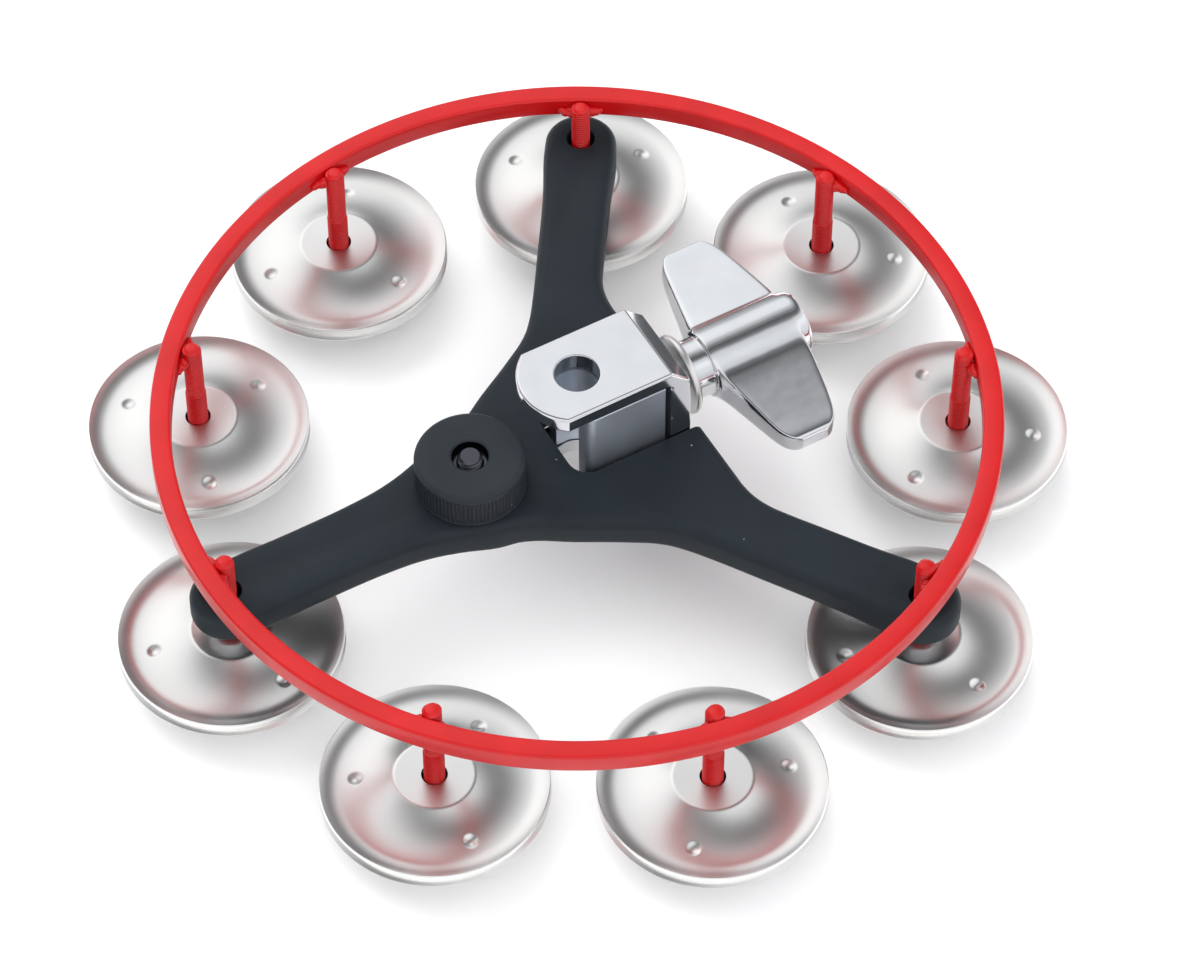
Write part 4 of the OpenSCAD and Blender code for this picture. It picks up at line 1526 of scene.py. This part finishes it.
class TAMBOURINE_OT_stage(bpy.types.Operator):
    """Pale floor, soft studio light and the camera"""
    bl_idname = "tambourine.stage"
    bl_label = "Stage"

    def floor(self, own):
        """A wide pale floor under the lowest nuts."""
        deselect_all()
        bpy.ops.mesh.primitive_plane_add(size=8, location=(0, 0, CAD_BOX[0].z))
        floor = bpy.context.object
        floor.name = "floor"
        material = bpy.data.materials.new("pale_floor")
        material.use_nodes = True
        tree = material.node_tree
        tree.nodes.clear()
        output = tree.nodes.new("ShaderNodeOutputMaterial")
        output.label = "Surface of the piece"
        output.location = (900, 0)
        shader = tree.nodes.new("ShaderNodeBsdfPrincipled")
        shader.label = "Pale paint"
        shader.location = (600, 0)
        tree.links.new(shader.outputs["BSDF"], output.inputs["Surface"])
        shader.inputs["Roughness"].default_value = 0.6
        shader.inputs["Base Color"].default_value = (*own.floor, 1)
        floor.data.materials.append(material)

    def softbox(self, name, place, aim, size, power):
        """One soft rectangular light that faces its aim."""
        deselect_all()
        bpy.ops.object.light_add(type="AREA", location=place)
        light = bpy.context.object
        light.name = name
        light.data.shape = "RECTANGLE"
        light.data.size, light.data.size_y = size
        light.data.energy = power
        light.visible_glossy = False
        light.rotation_mode = "QUATERNION"
        light.rotation_quaternion = (Vector(aim) - Vector(place)).to_track_quat("-Z", "Y")

    def surround(self):
        """A soft room: a bright screen at the back left, a dark gap, and a paler front."""
        world = bpy.data.worlds.new("studio")
        bpy.context.scene.world = world
        world.use_nodes = True
        tree = world.node_tree
        tree.nodes.clear()
        place = tree.nodes.new("ShaderNodeTexCoord")
        place.label = "Direction"
        place.location = (-900, 0)
        towards = tree.nodes.new("ShaderNodeVectorMath")
        towards.label = "How far towards the back left"
        towards.location = (-700, 0)
        towards.operation = "DOT_PRODUCT"
        towards.inputs[1].default_value = (-0.45, 0.62, 0.64)
        spread = tree.nodes.new("ShaderNodeMapRange")
        spread.label = "From behind the light to its middle"
        spread.location = (-550, 0)
        spread.inputs["From Min"].default_value = -1.0
        ramp = tree.nodes.new("ShaderNodeValToRGB")
        ramp.label = "Front screen, dark gap, back screen"
        ramp.location = (-400, 0)
        ramp.color_ramp.interpolation = "EASE"
        ramp.color_ramp.elements[0].position = 0.0
        ramp.color_ramp.elements[0].color = (0.42, 0.43, 0.45, 1)
        ramp.color_ramp.elements[1].position = 1.0
        ramp.color_ramp.elements[1].color = (1, 1, 1, 1)
        screens = (
            (0.36, 0.75), (0.52, 0.9), (0.65, 0.65), (0.73, 0.16), (0.79, 0.1), (0.85, 0.22),
            (0.9, 0.48), (0.94, 0.8),
        )
        for position, level in screens:
            stop = ramp.color_ramp.elements.new(position)
            stop.color = (level, level * 1.01, level * 1.03, 1)
        glow = tree.nodes.new("ShaderNodeBackground")
        glow.label = "Room light"
        glow.location = (-100, 0)
        glow.inputs["Strength"].default_value = 1.2
        output = tree.nodes.new("ShaderNodeOutputWorld")
        output.label = "Room"
        output.location = (100, 0)
        tree.links.new(place.outputs["Generated"], towards.inputs[0])
        tree.links.new(towards.outputs["Value"], spread.inputs["Value"])
        tree.links.new(spread.outputs["Result"], ramp.inputs["Fac"])
        tree.links.new(ramp.outputs["Color"], glow.inputs["Color"])
        tree.links.new(glow.outputs["Background"], output.inputs["Surface"])

    def camera(self, own):
        """The camera, which looks down on the hoop from the front."""
        aim = Vector((5.514 * MM, -23.3 * MM, node_high("hoop")))
        out = Vector((
            math.sin(own.azimuth) * math.cos(own.elevation),
            -math.cos(own.azimuth) * math.cos(own.elevation),
            math.sin(own.elevation),
        ))
        right = (-out).cross(Vector((0, 0, 1))).normalized()
        up = right.cross(-out)
        turned_right = right * math.cos(own.roll) + up * math.sin(own.roll)
        turned_up = up * math.cos(own.roll) - right * math.sin(own.roll)
        deselect_all()
        bpy.ops.object.camera_add()
        camera = bpy.context.object
        camera.data.sensor_width = 36
        camera.data.lens = own.lens
        camera.data.clip_start = 0.05
        camera.data.clip_end = 20
        turn = Matrix((turned_right, turned_up, out)).transposed().to_4x4()
        camera.matrix_world = Matrix.Translation(aim + out * own.distance) @ turn
        bpy.context.scene.camera = camera

    def execute(self, context):
        own = settings().stage
        self.floor(own)
        self.softbox("key_softbox", (-1.0, 1.3, 1.5), (0, 0, 0), (2.4, 1.8), 26)
        self.softbox("fill_softbox", (0.3, -1.6, 1.0), (0, 0, 0), (2.2, 1.4), 12)
        self.softbox("top_softbox", (0, 0, 2.0), (0, 0, 0), (3.0, 3.0), 34)
        self.surround()
        self.camera(own)
        bpy.context.scene.view_settings.view_transform = "Standard"
        return {"FINISHED"}


class TAMBOURINE_PT_panel(bpy.types.Panel):
    """Lists the tambourine's pieces and their settings"""
    bl_idname = "TAMBOURINE_PT_panel"
    bl_label = "Tambourine"
    bl_space_type = "VIEW_3D"
    bl_region_type = "UI"
    bl_category = "Tambourine"

    def draw(self, context):
        for group, operators in (
            ("hoop", (TAMBOURINE_OT_hoop, TAMBOURINE_OT_studs, TAMBOURINE_OT_welds)),
            ("jingle", (TAMBOURINE_OT_jingles, TAMBOURINE_OT_fasteners)),
            ("spider", (TAMBOURINE_OT_spider,)),
            ("clamp", (
                TAMBOURINE_OT_housing, TAMBOURINE_OT_jaw, TAMBOURINE_OT_screw,
                TAMBOURINE_OT_wing_bolt,
            )),
            ("knob", (TAMBOURINE_OT_knob,)),
            ("stage", (TAMBOURINE_OT_stage,)),
        ):
            box = self.layout.box()
            own = getattr(context.scene.tambourine, group)
            for name in own.bl_rna.properties.keys():
                if name not in ("rna_type", "name"):
                    box.prop(own, name)
            for operator in operators:
                box.operator(operator.bl_idname)


GROUPS = (
    HoopSettings, JingleSettings, SpiderSettings, ClampSettings, KnobSettings, StageSettings,
    TambourineSettings,
)
OPERATORS = (
    TAMBOURINE_OT_hoop, TAMBOURINE_OT_studs, TAMBOURINE_OT_welds, TAMBOURINE_OT_jingles,
    TAMBOURINE_OT_fasteners, TAMBOURINE_OT_spider, TAMBOURINE_OT_housing, TAMBOURINE_OT_jaw,
    TAMBOURINE_OT_screw, TAMBOURINE_OT_wing_bolt, TAMBOURINE_OT_knob, TAMBOURINE_OT_stage,
)


def register():
    """Registers the settings, the operators and the panel."""
    for made in (*GROUPS, *OPERATORS, TAMBOURINE_PT_panel):
        bpy.utils.register_class(made)
    bpy.types.Scene.tambourine = bpy.props.PointerProperty(type=TambourineSettings)


def unregister():
    """Takes them away again."""
    del bpy.types.Scene.tambourine
    for made in reversed((*GROUPS, *OPERATORS, TAMBOURINE_PT_panel)):
        bpy.utils.unregister_class(made)


def main():
    """Builds every piece."""
    register()
    bpy.ops.tambourine.hoop()
    bpy.ops.tambourine.studs()
    bpy.ops.tambourine.welds()
    bpy.ops.tambourine.jingles()
    bpy.ops.tambourine.fasteners()
    bpy.ops.tambourine.spider()
    bpy.ops.tambourine.housing()
    bpy.ops.tambourine.jaw()
    bpy.ops.tambourine.screw()
    bpy.ops.tambourine.wing_bolt()
    bpy.ops.tambourine.knob()
    bpy.ops.tambourine.stage()


if __name__ == "__main__":
    main()
